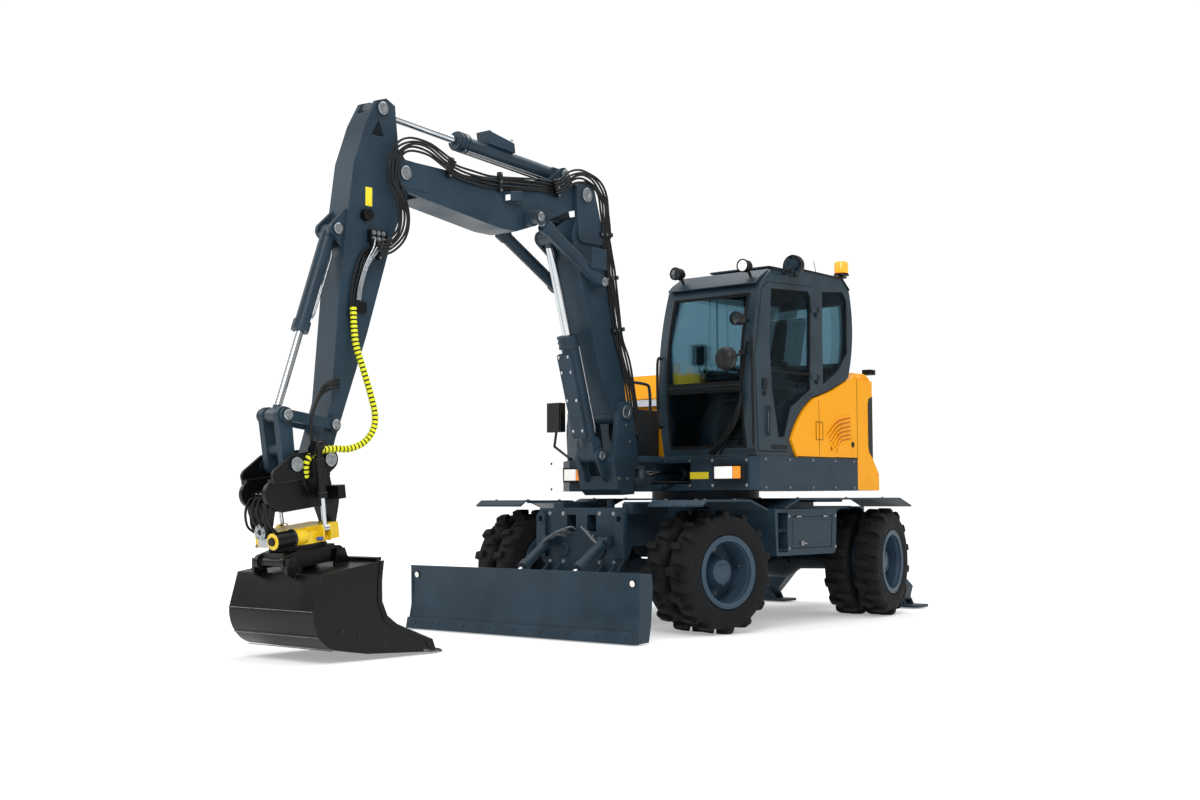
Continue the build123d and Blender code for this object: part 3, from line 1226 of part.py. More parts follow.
def build_rotor_housing():
    """Build the yellow rotator housing that tilts between the bearings."""
    with BuildPart() as housing:
        with Locations((0, 0, -60)):
            Box(300, 2 * TILT_HALF - 60 - 2 * PIN_GAP, 110)
        with Locations((0, 0, -75)):
            Cylinder(195, 80)
        for side in (-1, 1):
            with Locations((side * (TILT_EYE[0] + 70) / 2, TILT_CYL_Y, -92)):
                Box(TILT_EYE[0] - 100, 2 * TILT_EYE_HALF + 28, 36)
            for y in (TILT_CYL_Y - TILT_EYE_HALF - PIN_GAP - 12, TILT_CYL_Y + TILT_EYE_HALF + PIN_GAP):
                front_plate(
                    [
                        (side * (TILT_EYE[0] - 50), -110), (side * (TILT_EYE[0] + 10), -110),
                        (side * (TILT_EYE[0] + 28), -65), (side * (TILT_EYE[0] + 28), -20),
                        (side * (TILT_EYE[0] + 12), 2), (side * (TILT_EYE[0] - 12), 2),
                        (side * (TILT_EYE[0] - 28), -20), (side * (TILT_EYE[0] - 50), -75),
                    ],
                    y, y + 12,
                )
        with Locations((158, -200, -58)):
            Cylinder(55, 260, rotation=(90, 0, 0))
        fillet(housing.edges().filter_by(Axis.Z).group_by(Axis.Y)[0], 20)
    place_tool_piece(housing.part, "rotor_housing")


def build_tilt_cylinders():
    """Build the two tilt cylinders between the top frame's lugs and the housing's arms."""
    for side, name in ((1, "left"), (-1, "right")):
        top = (side * TILT_TOP[0], TILT_CYL_Y, TILT_TOP[1])
        eye = (side * TILT_EYE[0], TILT_CYL_Y, TILT_EYE[1])
        with BuildPart() as barrel:
            with Locations(top):
                Cylinder(30, 2 * TILT_EYE_HALF, rotation=(90, 0, 0))
            rod_between(top, along(top, eye, 100), 24)
            rod_between(along(top, eye, 95), along(top, eye, 360), 34)
            rod_between(along(top, eye, 325), along(top, eye, 362), 40)
            rod_between(along(top, eye, 38), along(top, eye, 380), 17 + ROD_FIT, Mode.SUBTRACT)
        place_tool_piece(barrel.part, f"tilt_barrel_{name}")
        with BuildPart() as rod:
            rod_between(along(eye, top, 377), along(eye, top, 10), 17)
            with Locations(eye):
                Cylinder(TILT_EYE_HALF, 2 * TILT_EYE_HALF, rotation=(90, 0, 0))
        place_tool_piece(rod.part, f"tilt_rod_{name}")


def build_lower_hitch():
    """Build the turning quick hitch under the housing."""
    with BuildPart() as hitch:
        with Locations((0, 0, -134 - PIN_GAP)):
            Cylinder(190, 38)
        with Locations((0, 0, -190)):
            Box(236, 440, 74)
        for side in (-1, 1):
            low, high = sorted((side * 120, side * 160))
            rounded_link([(-215, -215), (215, -215), (0, -190)], [50, 50, 60], low, high)
        cross_pin((-215, -215), 30, -192, 192)
        cross_pin((215, -215), 30, -192, 192)
    place_tool_piece(hitch.part, "lower_hitch")


BUCKET_HALF = 455.0
BUCKET_WALL = 18.0


def build_bucket():
    """Build the grading bucket as a bent shell with end plates, pin ears and a lip."""
    wall = BUCKET_WALL
    with BuildPart() as bucket:
        with BuildSketch(Plane.YZ.offset(-BUCKET_HALF)) as shell:
            with BuildLine():
                Polyline((340, -286), (-185, -296), (-283, -520))
                ThreePointArc((-283, -520), (-262, -690), (-150, -800))
                Polyline((-150, -800), (130, -886), (810, -1012), (790, -984), (134, -886 + wall + 2))
                Line((134, -866), (-140, -784))
                ThreePointArc((-140, -784), (-244, -682), (-264, -518))
                Polyline((-264, -518), (-172, -314), (340, -304), (340, -286))
            make_face()
        extrude(shell.sketch, amount=2 * BUCKET_HALF)
        for x in (-BUCKET_HALF, BUCKET_HALF - wall):
            with BuildSketch(Plane.YZ.offset(x)) as end:
                with BuildLine():
                    Polyline((340, -288), (-184, -298), (-281, -520))
                    ThreePointArc((-281, -520), (-260, -689), (-150, -798))
                    Polyline((-150, -798), (130, -884), (735, -990), (722, -905), (400, -735))
                    ThreePointArc((400, -735), (290, -560), (340, -288))
                make_face()
            extrude(end.sketch, amount=wall)
        for side in (-1, 1):
            low, high = sorted((side * 164, side * 190))
            side_plate([(-250, -186), (-180, -186), (-150, -290), (-150, -320), (-200, -330), (-262, -290)], low, high)
            side_plate([(180, -186), (250, -186), (280, -290), (280, -300), (150, -300), (150, -290)], low, high)
        for y in (-215, 215):
            cross_pin((y, -215), 31, -195, 195, Mode.SUBTRACT)
    place_tool_piece(bucket.part, "bucket")


os.makedirs("parts", exist_ok=True)
build_chassis()
build_tie_down_ears()
build_axles()
build_fenders()
build_side_boxes()
build_wheels()
build_blade()
build_blade_cylinders()
build_stabilizers()
build_deck()
build_counterweight()
build_rear_door()
build_hood()
build_engine()
build_left_cover()
build_tank()
build_cab()
build_cab_glass()
build_door()
build_interior()
build_lamps()
build_mirrors()
build_swing_post()
build_swing_cylinder()
build_lower_boom()
build_boom_cylinder()
build_upper_boom()
build_adjust_cylinders()
build_arm()
build_arm_cylinder()
build_bucket_linkage()
build_hitch()
build_rotor_housing()
build_tilt_cylinders()
build_lower_hitch()
build_bucket()
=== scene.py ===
"""Dress a packed wheeled excavator: finishes, light, camera and the pieces too fine for its solids.

Meshes are drawn in millimetres, with y measured from the slew axis as in the part's source, and are
moved into the frame's metres when they are finished.
"""
import json
import logging
import math
from collections.abc import Iterable, Sequence
from dataclasses import dataclass, field
from enum import Enum
from functools import cache

import bmesh
import bpy
from mathutils import Matrix, Vector

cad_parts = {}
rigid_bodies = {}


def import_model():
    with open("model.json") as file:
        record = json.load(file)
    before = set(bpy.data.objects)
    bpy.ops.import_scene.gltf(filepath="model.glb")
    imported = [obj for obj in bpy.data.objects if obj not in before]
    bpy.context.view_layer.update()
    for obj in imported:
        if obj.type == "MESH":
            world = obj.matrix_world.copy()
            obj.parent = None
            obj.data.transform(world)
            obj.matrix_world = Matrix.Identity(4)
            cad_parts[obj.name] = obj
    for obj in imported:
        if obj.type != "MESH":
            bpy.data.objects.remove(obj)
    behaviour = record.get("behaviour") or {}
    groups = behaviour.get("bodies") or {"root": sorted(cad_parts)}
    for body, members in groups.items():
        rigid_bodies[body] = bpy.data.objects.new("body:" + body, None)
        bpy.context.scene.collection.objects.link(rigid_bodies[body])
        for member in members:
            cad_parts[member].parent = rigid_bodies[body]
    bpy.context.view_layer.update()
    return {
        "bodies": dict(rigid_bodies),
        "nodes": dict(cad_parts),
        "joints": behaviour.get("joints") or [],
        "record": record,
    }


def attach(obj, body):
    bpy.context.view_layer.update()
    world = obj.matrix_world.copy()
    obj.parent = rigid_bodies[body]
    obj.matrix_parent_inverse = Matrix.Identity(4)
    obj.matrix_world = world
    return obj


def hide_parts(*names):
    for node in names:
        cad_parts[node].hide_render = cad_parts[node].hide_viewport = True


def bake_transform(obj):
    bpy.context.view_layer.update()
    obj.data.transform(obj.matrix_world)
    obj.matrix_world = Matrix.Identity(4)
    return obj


LOG = logging.getLogger("excavator")
MM = 0.001
MIDDLE_TO_SLEW_AXIS = 1363.0
TO_FRAME = Matrix.Scale(MM, 4) @ Matrix.Translation((0, MIDDLE_TO_SLEW_AXIS, 0))
TOOL_PLACE = TO_FRAME @ Matrix.Translation((0, -4690, 905)) @ Matrix.Rotation(math.radians(7.7), 4, "X")
SIDES = (1, -1)
NAMED_SIDES = ((1, "left"), (-1, "right"))
STEERED_DEGREES = 11.0
AXLE_YS = {"front": -1275.0, "rear": 1165.0}
BOOM_CYLINDER = (Vector((0, -1607, 1440)), Vector((0, -2140, 3217)))
ARM_CYLINDER = (Vector((0, -2040, 3741)), Vector((0, -4032, 3907)))


def linear(hex_colour: str) -> tuple[float, float, float, float]:
    """Turn an sRGB hex colour into a linear RGBA value.

    Args:
        hex_colour: Six hex digits, without a hash.

    Returns:
        The linear colour with full alpha.
    """
    values = [int(hex_colour[i:i + 2], 16) / 255 for i in (0, 2, 4)]
    bent = [v / 12.92 if v <= 0.04045 else ((v + 0.055) / 1.055) ** 2.4 for v in values]
    return (*bent, 1.0)


def add_node(tree: bpy.types.NodeTree, kind: str, settings: dict | None = None,
             links: dict | None = None) -> bpy.types.Node:
    """Add a node with its settings and its inputs.

    Args:
        tree: The node tree that gets the node.
        kind: The node's type name.
        settings: Attribute values of the node.
        links: Input names or numbers, each with a value or another node's output.

    Returns:
        The new node.
    """
    made = tree.nodes.new(kind)
    for name, value in (settings or {}).items():
        setattr(made, name, value)
    for name, value in (links or {}).items():
        if isinstance(value, bpy.types.NodeSocket):
            tree.links.new(value, made.inputs[name])
        else:
            made.inputs[name].default_value = value
    return made


def maths(tree: bpy.types.NodeTree, operation: str, *values: object) -> bpy.types.NodeSocket:
    """Add a maths node and return its output."""
    return add_node(tree, "ShaderNodeMath", {"operation": operation}, dict(enumerate(values))).outputs[0]


def remap(tree: bpy.types.NodeTree, value: bpy.types.NodeSocket, span: tuple[float, float],
          onto: tuple[float, float] = (0.0, 1.0)) -> bpy.types.NodeSocket:
    """Add a node that maps one span of a value onto another, and return its output."""
    ends = {"From Min": span[0], "From Max": span[1], "To Min": onto[0], "To Max": onto[1]}
    return add_node(tree, "ShaderNodeMapRange", {}, {"Value": value, **ends}).outputs[0]


def mixed(tree: bpy.types.NodeTree, share: bpy.types.NodeSocket, first: object,
          second: object) -> bpy.types.NodeSocket:
    """Add a node that mixes two colours and return its output."""
    return add_node(tree, "ShaderNodeMix", {"data_type": "RGBA"}, {0: share, 6: first, 7: second}).outputs[2]


class Pattern(Enum):
    """How a finish's surface relief runs."""

    GRAIN = "cast or moulded grain"
    BRUSHED = "lines of the last polish"
    WEAVE = "crossed threads"
    FLUTES = "moulded lens flutes"
    TREAD = "raised anti-slip studs"


@dataclass(frozen=True)
class Finish:
    """A surface finish: its colours, gloss, relief and a painted highlight along its edges.

    The second colour lies in broad clouds over the first. Relief finer than the picture shows is
    drawn as coarse as it needs to be seen.
    """

    name: str
    colour: str
    cloud: str
    roughness: float
    metallic: float = 0.0
    cloud_mm: float = 300.0
    grain_mm: float = 6.0
    relief_mm: float = 0.12
    gloss_change: float = 0.08
    edge: str = ""
    edge_mm: float = 4.0
    coat: float = 0.0
    glow: float = 0.0
    alpha: float = 1.0
    sheen: float = 0.0
    specular: float = 0.5
    clear: float = 0.0
    pattern: Pattern = Pattern.GRAIN
    slot: str = ""
    paint_from: tuple[float, float, float] | None = None
    paint_over_mm: float = 0.0

    def relief(self, tree: bpy.types.NodeTree, place: bpy.types.NodeSocket) -> bpy.types.NodeSocket:
        """Add the nodes of the surface relief.

        Args:
            tree: The material's node tree.
            place: The object coordinates.

        Returns:
            The height output.
        """
        size = 1000 / self.grain_mm
        if self.pattern is Pattern.BRUSHED:
            squeezed = add_node(tree, "ShaderNodeMapping", {}, {"Vector": place, "Scale": (1, 1, 0.06)})
            return add_node(tree, "ShaderNodeTexNoise", {}, {"Vector": squeezed.outputs[0],
                "Scale": size}).outputs[0]
        if self.pattern is Pattern.WEAVE:
            waves = [add_node(tree, "ShaderNodeTexWave", {"bands_direction": way},
                {"Vector": place, "Scale": size / 6.3, "Distortion": 0.4}).outputs["Fac"]
                for way in ("X", "Z")]
            return maths(tree, "MULTIPLY", *waves)
        if self.pattern is Pattern.FLUTES:
            return add_node(tree, "ShaderNodeTexWave", {"bands_direction": "X"},
                {"Vector": place, "Scale": size / 6.3}).outputs["Fac"]
        if self.pattern is Pattern.TREAD:
            return add_node(tree, "ShaderNodeTexVoronoi", {}, {"Vector": place, "Scale": size,
                "Randomness": 0.0}).outputs["Distance"]
        return add_node(tree, "ShaderNodeTexNoise", {}, {"Vector": place, "Scale": size,
            "Detail": 3.0}).outputs[0]

    def painted_edge_highlight(self, tree: bpy.types.NodeTree, rounded: bpy.types.NodeSocket,
             colour: bpy.types.NodeSocket, cloud: bpy.types.NodeSocket) -> bpy.types.NodeSocket:
        """Add a paler colour where the surface turns over an edge, as a painted highlight.

        Args:
            tree: The material's node tree.
            rounded: The normal of the rounded surface.
            colour: The colour of the flat surface.
            cloud: Noise that breaks the painted highlight up.

        Returns:
            The colour output.
        """
        true_normal = add_node(tree, "ShaderNodeNewGeometry").outputs["Normal"]
        turn = add_node(tree, "ShaderNodeVectorMath", {"operation": "DOT_PRODUCT"},
            {0: rounded, 1: true_normal})
        mask = remap(tree, turn.outputs["Value"], (0.99, 0.86), (0.0, 0.55))
        return mixed(tree, maths(tree, "MULTIPLY", mask, cloud), colour, linear(self.edge))

    def build(self) -> bpy.types.Material:
        """Build the material.

        Returns:
            The new material.
        """
        material = bpy.data.materials.new(self.name)
        material.use_nodes = True
        tree = material.node_tree
        tree.nodes.clear()
        place = add_node(tree, "ShaderNodeTexCoord").outputs["Object"]
        cloud = add_node(tree, "ShaderNodeTexNoise", {}, {"Vector": place, "Scale": 1000 / self.cloud_mm,
            "Detail": 4.0}).outputs[0]
        spread = remap(tree, cloud, (0.35, 0.65))
        colour = mixed(tree, spread, linear(self.colour), linear(self.cloud))
        height = self.relief(tree, place)
        bump_links = {"Height": height, "Strength": 0.6, "Distance": self.relief_mm * MM}
        # The edge colour is a painted highlight, mixed in where the rounded normal turns over an edge.
        if self.edge:
            rounded = add_node(tree, "ShaderNodeBevel", {"samples": 4},
                {"Radius": self.edge_mm * MM}).outputs[0]
            colour = self.painted_edge_highlight(tree, rounded, colour, spread)
            bump_links["Normal"] = rounded
        bump = add_node(tree, "ShaderNodeBump", {}, bump_links).outputs[0]
        gloss = remap(tree, cloud, (0.3, 0.7), (max(0.02, self.roughness - self.gloss_change),
            self.roughness + self.gloss_change))
        metal: float | bpy.types.NodeSocket = self.metallic
        if self.paint_from is not None:
            metal, colour, gloss = self.painted_eye(tree, place, colour, gloss)
        surface = add_node(tree, "ShaderNodeBsdfPrincipled", {}, {"Base Color": colour, "Roughness": gloss,
            "Metallic": metal, "Normal": bump, "Alpha": self.alpha, "Coat Weight": self.coat,
            "Sheen Weight": self.sheen, "Coat Roughness": 0.12, "Specular IOR Level": self.specular,
            "Transmission Weight": self.clear, "IOR": 1.12 if self.clear else 1.5})
        if self.glow:
            surface.inputs["Emission Color"].default_value = linear(self.colour)
            surface.inputs["Emission Strength"].default_value = self.glow
        add_node(tree, "ShaderNodeOutputMaterial", {}, {"Surface": surface.outputs[0]})
        return material

    def painted_eye(self, tree: bpy.types.NodeTree, place: bpy.types.NodeSocket, colour: bpy.types.NodeSocket,
                    gloss: bpy.types.NodeSocket) -> tuple[bpy.types.NodeSocket, ...]:
        """Paint the forged eye at a chromed rod's end.

        Args:
            tree: The material's node tree.
            place: The object coordinates.
            colour: The rod's colour.
            gloss: The rod's roughness.

        Returns:
            The metallic, colour and roughness outputs.
        """
        level = add_node(tree, "ShaderNodeVectorMath", {"operation": "MULTIPLY"}, {0: place, 1: (0, 1, 1)})
        centre = (0, self.paint_from[1], self.paint_from[2])
        away = add_node(tree, "ShaderNodeVectorMath", {"operation": "DISTANCE"},
            {0: level.outputs[0], 1: centre})
        bare = maths(tree, "GREATER_THAN", away.outputs["Value"], self.paint_over_mm * MM)
        dull = add_node(tree, "ShaderNodeMix", {}, {0: bare, 2: 0.42, 3: gloss}).outputs[0]
        return bare, mixed(tree, bare, linear("2C3941"), colour), dull


# Polyester powder paint on steel: satin, faint orange peel, with a painted highlight along its edges
SLATE = Finish("powder_painted_steel_slate", "20313D", "273A47", 0.42, edge="5F7482", specular=0.22,
    slot="frame_grey")
SLATE_DARK = Finish("powder_painted_steel_shade", "161F26", "1C2830", 0.48, edge="45545F", specular=0.2,
    slot="frame_grey")
CAB_PAINT = Finish("powder_painted_cab", "202F39", "263742", 0.36, edge="667B89", coat=0.05, specular=0.3,
    slot="cab_grey")
# Two-pack body enamel: deeper gloss, hardly any peel, with a painted highlight along its edges
AMBER_ENAMEL = Finish("body_enamel_amber", "F0A008", "F2A40E", 0.32, relief_mm=0.04, edge="F6B02A", coat=0.08,
    specular=0.18, slot="panel_yellow")
# The same enamel painted darker as shade, for the strips under the louvre lips
LOUVRE_SHADE = Finish("body_enamel_in_shade", "B96A06", "BF7008", 0.5, relief_mm=0.04, specular=0.1,
    slot="panel_yellow")
# Black stove enamel of the attachment: glossy, with a bright painted highlight along its edges
BLACK_ENAMEL = Finish("stove_enamel_black", "08090A", "0D0E10", 0.34, relief_mm=0.08, edge="7C8185",
    edge_mm=4, specular=0.22, slot="tool_black")
ROTOR_ENAMEL = Finish("enamelled_cast_iron_yellow", "E6BE08", "EFCB1C", 0.38, grain_mm=9, relief_mm=0.35,
    edge="F6E07A", coat=0.2, slot="rotor_yellow")
RIM_PAINT = Finish("painted_wheel_steel", "2F4352", "364B5B", 0.38, edge="6E8290", specular=0.25,
    slot="rim_grey")
# Carbon-black tyre rubber: matt, with a faint bloom, fine mould grain and a painted highlight along its edges
TYRE = Finish("tyre_rubber", "0C0D0F", "141517", 0.80, cloud_mm=90, grain_mm=4, relief_mm=0.5, edge="4A4C4F",
    edge_mm=4, specular=0.25, slot="tyre_black")
RUBBER = Finish("seal_rubber", "090A0B", "101112", 0.62, grain_mm=5, relief_mm=0.2, specular=0.2,
    slot="tyre_black")
HOSE = Finish("hydraulic_hose_rubber", "0A0B0C", "131416", 0.50, cloud_mm=60, grain_mm=5, relief_mm=0.4,
    specular=0.3, slot="tyre_black")
CHROME = Finish("hard_chrome_rod", "C9CDD0", "B8BDC1", 0.12, metallic=1.0, gloss_change=0.03, grain_mm=3,
    relief_mm=0.02, pattern=Pattern.BRUSHED, slot="rod_chrome")
ZINC = Finish("zinc_plated_steel", "A9ADB0", "8F9498", 0.34, metallic=1.0, cloud_mm=40, slot="rod_chrome")
WRAP = Finish("spiral_wrap_polyethylene", "E3E312", "D6DA0C", 0.42, cloud_mm=80, slot="rotor_yellow")
GLASS = Finish("tinted_safety_glass", "86B9CC", "89BCCF", 0.02, gloss_change=0.0, relief_mm=0.0, alpha=0.7,
    clear=1.0, slot="cab_glass")
# Moulded cab plastics, a little lighter than rubber, with a leather-like stipple
PLASTIC = Finish("moulded_black_plastic", "0D0F11", "141719", 0.55, grain_mm=5, relief_mm=0.35, specular=0.25,
    slot="interior_black")
SEAT_CLOTH = Finish("woven_seat_cloth", "101214", "1A1D20", 0.88, cloud_mm=60, grain_mm=4, relief_mm=0.8,
    sheen=0.15, specular=0.2, pattern=Pattern.WEAVE, slot="interior_black")
SCREEN = Finish("display_glass", "0B1A22", "10242E", 0.10, slot="interior_black")
BRAID = Finish("braided_hose_grey", "55595C", "6C7073", 0.42, cloud_mm=30, grain_mm=4, relief_mm=0.5,
    specular=0.4, slot="rod_chrome")
CLEAR_LENS = Finish("lamp_lens_lit", "EFEFE8", "FFFFFF", 0.12, grain_mm=22, relief_mm=1.4, glow=0.35,
    pattern=Pattern.FLUTES, slot="lamp_clear")
DARK_LENS = Finish("lamp_lens_unlit", "22282C", "2E363B", 0.10, grain_mm=22, relief_mm=1.0,
    pattern=Pattern.FLUTES, slot="lamp_clear")
AMBER_LENS = Finish("lamp_lens_amber", "F07E12", "F59A2C", 0.15, grain_mm=18, relief_mm=1.0, glow=0.45,
    pattern=Pattern.FLUTES, slot="lamp_clear")
# Its faint glow suits the rear lamps; on the rear reflectors, which are no lamps, it is a painted glow
RED_LENS = Finish("lamp_lens_red", "B01410", "C42A20", 0.18, grain_mm=16, relief_mm=1.0, glow=0.1,
    pattern=Pattern.FLUTES, slot="lamp_clear")
WHITE_LENS = Finish("reflector_white", "EDEDE8", "F7F7F4", 0.22, grain_mm=8, relief_mm=0.5,
    pattern=Pattern.TREAD, slot="lamp_clear")
MIRROR_SHELL = Finish("mirror_shell_plastic", "0F1113", "16181A", 0.42, specular=0.3, slot="mirror_black")
MIRROR_GLASS = Finish("silvered_mirror", "9FB0B8", "A8B8C0", 0.03, metallic=1.0, gloss_change=0.01,
    relief_mm=0.0, slot="mirror_black")
ENGINE_METAL = Finish("cast_engine_block", "5B6268", "6A7177", 0.55, metallic=0.6, grain_mm=9, relief_mm=0.6,
    slot="engine_metal")
GALVANISED = Finish("light_grey_sheet", "B9BEC2", "C6CACD", 0.45, coat=0.1, slot="rim_grey")
BLUE_CAP = Finish("coupling_cap_blue", "2C4FA8", "3459B4", 0.40, slot="rotor_yellow")
PLATE_YELLOW = Finish("bare_plate_yellow", "E8D21C", "EEDB35", 0.45, slot="rotor_yellow")
# Bare steel of the bucket's cutting edge and of the pale lines along its folds and side rims; its paler edge
# colour is a painted highlight
BARE_EDGE_STEEL = Finish("bare_edge_steel", "4A4E51", "6B6F72", 0.34, metallic=0.85, cloud_mm=70, grain_mm=5,
    relief_mm=0.3, edge="B5B8BA", edge_mm=6, slot="frame_grey")
AMBER_GLOW = Finish("beacon_dome_amber", "F58A0A", "FFA52E", 0.10, grain_mm=14, relief_mm=0.6, glow=1.1,
    coat=0.6, pattern=Pattern.FLUTES, slot="lamp_clear")
FLOOR_MAT = Finish("floor_mat_rubber", "121314", "1B1C1D", 0.8, grain_mm=16, relief_mm=1.6,
    pattern=Pattern.TREAD, slot="interior_black")
VENT_MESH = Finish("vent_mesh_black", "090A0B", "141617", 0.6, grain_mm=14, relief_mm=3.0,
    pattern=Pattern.TREAD, slot="tool_black")


@cache
def material_of(finish: Finish) -> bpy.types.Material:
    """Return a finish's material, built once."""
    return finish.build()


SOCKETS = {float: "NodeSocketFloat", int: "NodeSocketInt", tuple: "NodeSocketVector",
           type(None): "NodeSocketMaterial"}


def new_geometry_tree(name: str, inputs: dict[str, object]) -> tuple:
    """Start a Geometry Nodes tree with named inputs.

    Args:
        name: The tree's name.
        inputs: Each input's name with its first value, or None for a material.

    Returns:
        The tree, its input node and its output node.
    """
    tree = bpy.data.node_groups.new(name, "GeometryNodeTree")
    tree.interface.new_socket("Geometry", in_out="INPUT", socket_type="NodeSocketGeometry")
    for label, value in inputs.items():
        socket = tree.interface.new_socket(label, in_out="INPUT", socket_type=SOCKETS[type(value)])
        if value is not None:
            socket.default_value = value
    tree.interface.new_socket("Geometry", in_out="OUTPUT", socket_type="NodeSocketGeometry")
    return tree, add_node(tree, "NodeGroupInput"), add_node(tree, "NodeGroupOutput")


def close_tree(tree: bpy.types.NodeTree, made: bpy.types.NodeSocket, entry: bpy.types.Node,
               exit_node: bpy.types.Node) -> bpy.types.NodeTree:
    """End a tree in Realize Instances and Set Material.

    Args:
        tree: The tree.
        made: The geometry that it has made.
        entry: Its input node, which has a Finish input.
        exit_node: Its output node.

    Returns:
        The finished tree.
    """
    real = add_node(tree, "GeometryNodeRealizeInstances", {}, {"Geometry": made})
    dressed = add_node(tree, "GeometryNodeSetMaterial", {}, {"Geometry": real.outputs[0],
        "Material": entry.outputs["Finish"]})
    tree.links.new(dressed.outputs[0], exit_node.inputs[0])
    return tree


@cache
def fastener_tree() -> bpy.types.NodeTree:
    """Build the tree that sets a hexagon head on a washer at each point, along its facing."""
    tree, entry, leave = new_geometry_tree("hexagon_heads", {"Head": 0.012, "Height": 0.008, "Finish": None})
    head = add_node(tree, "GeometryNodeMeshCylinder", {}, {"Vertices": 6, "Radius": entry.outputs["Head"],
        "Depth": entry.outputs["Height"]})
    washer = add_node(tree, "GeometryNodeMeshCylinder", {}, {"Vertices": 16,
        "Radius": maths(tree, "MULTIPLY", entry.outputs["Head"], 1.35),
        "Depth": maths(tree, "MULTIPLY", entry.outputs["Height"], 0.3)})
    lift = add_node(tree, "ShaderNodeCombineXYZ", {}, {"Z": maths(tree, "MULTIPLY", entry.outputs["Height"],
        0.5)})
    raised = add_node(tree, "GeometryNodeTransform", {}, {"Geometry": head.outputs["Mesh"],
        "Translation": lift.outputs[0]})
    both = add_node(tree, "GeometryNodeJoinGeometry")
    tree.links.new(raised.outputs[0], both.inputs[0])
    tree.links.new(washer.outputs["Mesh"], both.inputs[0])
    facing = add_node(tree, "GeometryNodeInputNamedAttribute", {"data_type": "FLOAT_VECTOR"},
        {"Name": "facing"})
    turned = add_node(tree, "FunctionNodeAlignRotationToVector", {"axis": "Z"}, {"Vector": facing.outputs[0]})
    placed = add_node(tree, "GeometryNodeInstanceOnPoints", {},
        {"Points": entry.outputs["Geometry"], "Instance": both.outputs[0], "Rotation": turned.outputs[0]})
    return close_tree(tree, placed.outputs[0], entry, leave)


@cache
def ring_tree() -> bpy.types.NodeTree:
    """Build the tree that repeats a mesh round its own x axis."""
    tree, entry, leave = new_geometry_tree("ring_of_pieces", {"Count": 16, "Start": 0.0, "Finish": None})
    points = add_node(tree, "GeometryNodePoints", {}, {"Count": entry.outputs["Count"]})
    step = maths(tree, "DIVIDE", math.tau, entry.outputs["Count"])
    index = add_node(tree, "GeometryNodeInputIndex").outputs[0]
    angle = maths(tree, "MULTIPLY_ADD", index, step, entry.outputs["Start"])
    turn = add_node(tree, "ShaderNodeCombineXYZ", {}, {"X": angle})
    placed = add_node(tree, "GeometryNodeInstanceOnPoints", {},
        {"Points": points.outputs[0], "Instance": entry.outputs["Geometry"], "Rotation": turn.outputs[0]})
    return close_tree(tree, placed.outputs[0], entry, leave)


@cache
def row_tree() -> bpy.types.NodeTree:
    """Build the tree that repeats a mesh along a straight row."""
    tree, entry, leave = new_geometry_tree("row_of_pieces", {"Count": 6,
        "Step": (0.0, 0.0, 0.05), "Finish": None})
    line = add_node(tree, "GeometryNodeMeshLine", {}, {"Count": entry.outputs["Count"],
        "Offset": entry.outputs["Step"]})
    placed = add_node(tree, "GeometryNodeInstanceOnPoints", {},
        {"Points": line.outputs[0], "Instance": entry.outputs["Geometry"]})
    return close_tree(tree, placed.outputs[0], entry, leave)


@cache
def tube_tree() -> bpy.types.NodeTree:
    """Build the tree that runs a round tube along each path of edges."""
    tree, entry, leave = new_geometry_tree("round_tube", {"Radius": 0.012, "Sides": 10, "Finish": None})
    curve = add_node(tree, "GeometryNodeMeshToCurve", {}, {"Mesh": entry.outputs["Geometry"]})
    section = add_node(tree, "GeometryNodeCurvePrimitiveCircle", {},
        {"Resolution": entry.outputs["Sides"], "Radius": entry.outputs["Radius"]})
    tube = add_node(tree, "GeometryNodeCurveToMesh", {}, {"Curve": curve.outputs[0],
        "Profile Curve": section.outputs[0], "Fill Caps": True})
    return close_tree(tree, tube.outputs[0], entry, leave)


@cache
def wrap_tree() -> bpy.types.NodeTree:
    """Build the tree that threads rings close together on a path, as a spiral wrap or coil shows."""
    tree, entry, leave = new_geometry_tree("rings_on_path", {"Radius": 0.02, "Thickness": 0.004,
        "Spacing": 0.03, "Stretch": 1.0, "Finish": None})
    curve = add_node(tree, "GeometryNodeMeshToCurve", {}, {"Mesh": entry.outputs["Geometry"]})
    points = add_node(tree, "GeometryNodeCurveToPoints", {"mode": "LENGTH"},
        {"Curve": curve.outputs[0], "Length": entry.outputs["Spacing"]})
    circle = add_node(tree, "GeometryNodeCurvePrimitiveCircle", {},
        {"Resolution": 14, "Radius": entry.outputs["Radius"]})
    section = add_node(tree, "GeometryNodeCurvePrimitiveCircle", {},
        {"Resolution": 6, "Radius": entry.outputs["Thickness"]})
    ring = add_node(tree, "GeometryNodeCurveToMesh", {}, {"Curve": circle.outputs[0],
        "Profile Curve": section.outputs[0]})
    stretch = add_node(tree, "ShaderNodeCombineXYZ", {}, {"X": 1.0, "Y": 1.0, "Z": entry.outputs["Stretch"]})
    shaped = add_node(tree, "GeometryNodeTransform", {}, {"Geometry": ring.outputs[0],
        "Scale": stretch.outputs[0]})
    placed = add_node(tree, "GeometryNodeInstanceOnPoints", {},
        {"Points": points.outputs["Points"], "Instance": shaped.outputs[0],
        "Rotation": points.outputs["Rotation"]})
    return close_tree(tree, placed.outputs[0], entry, leave)


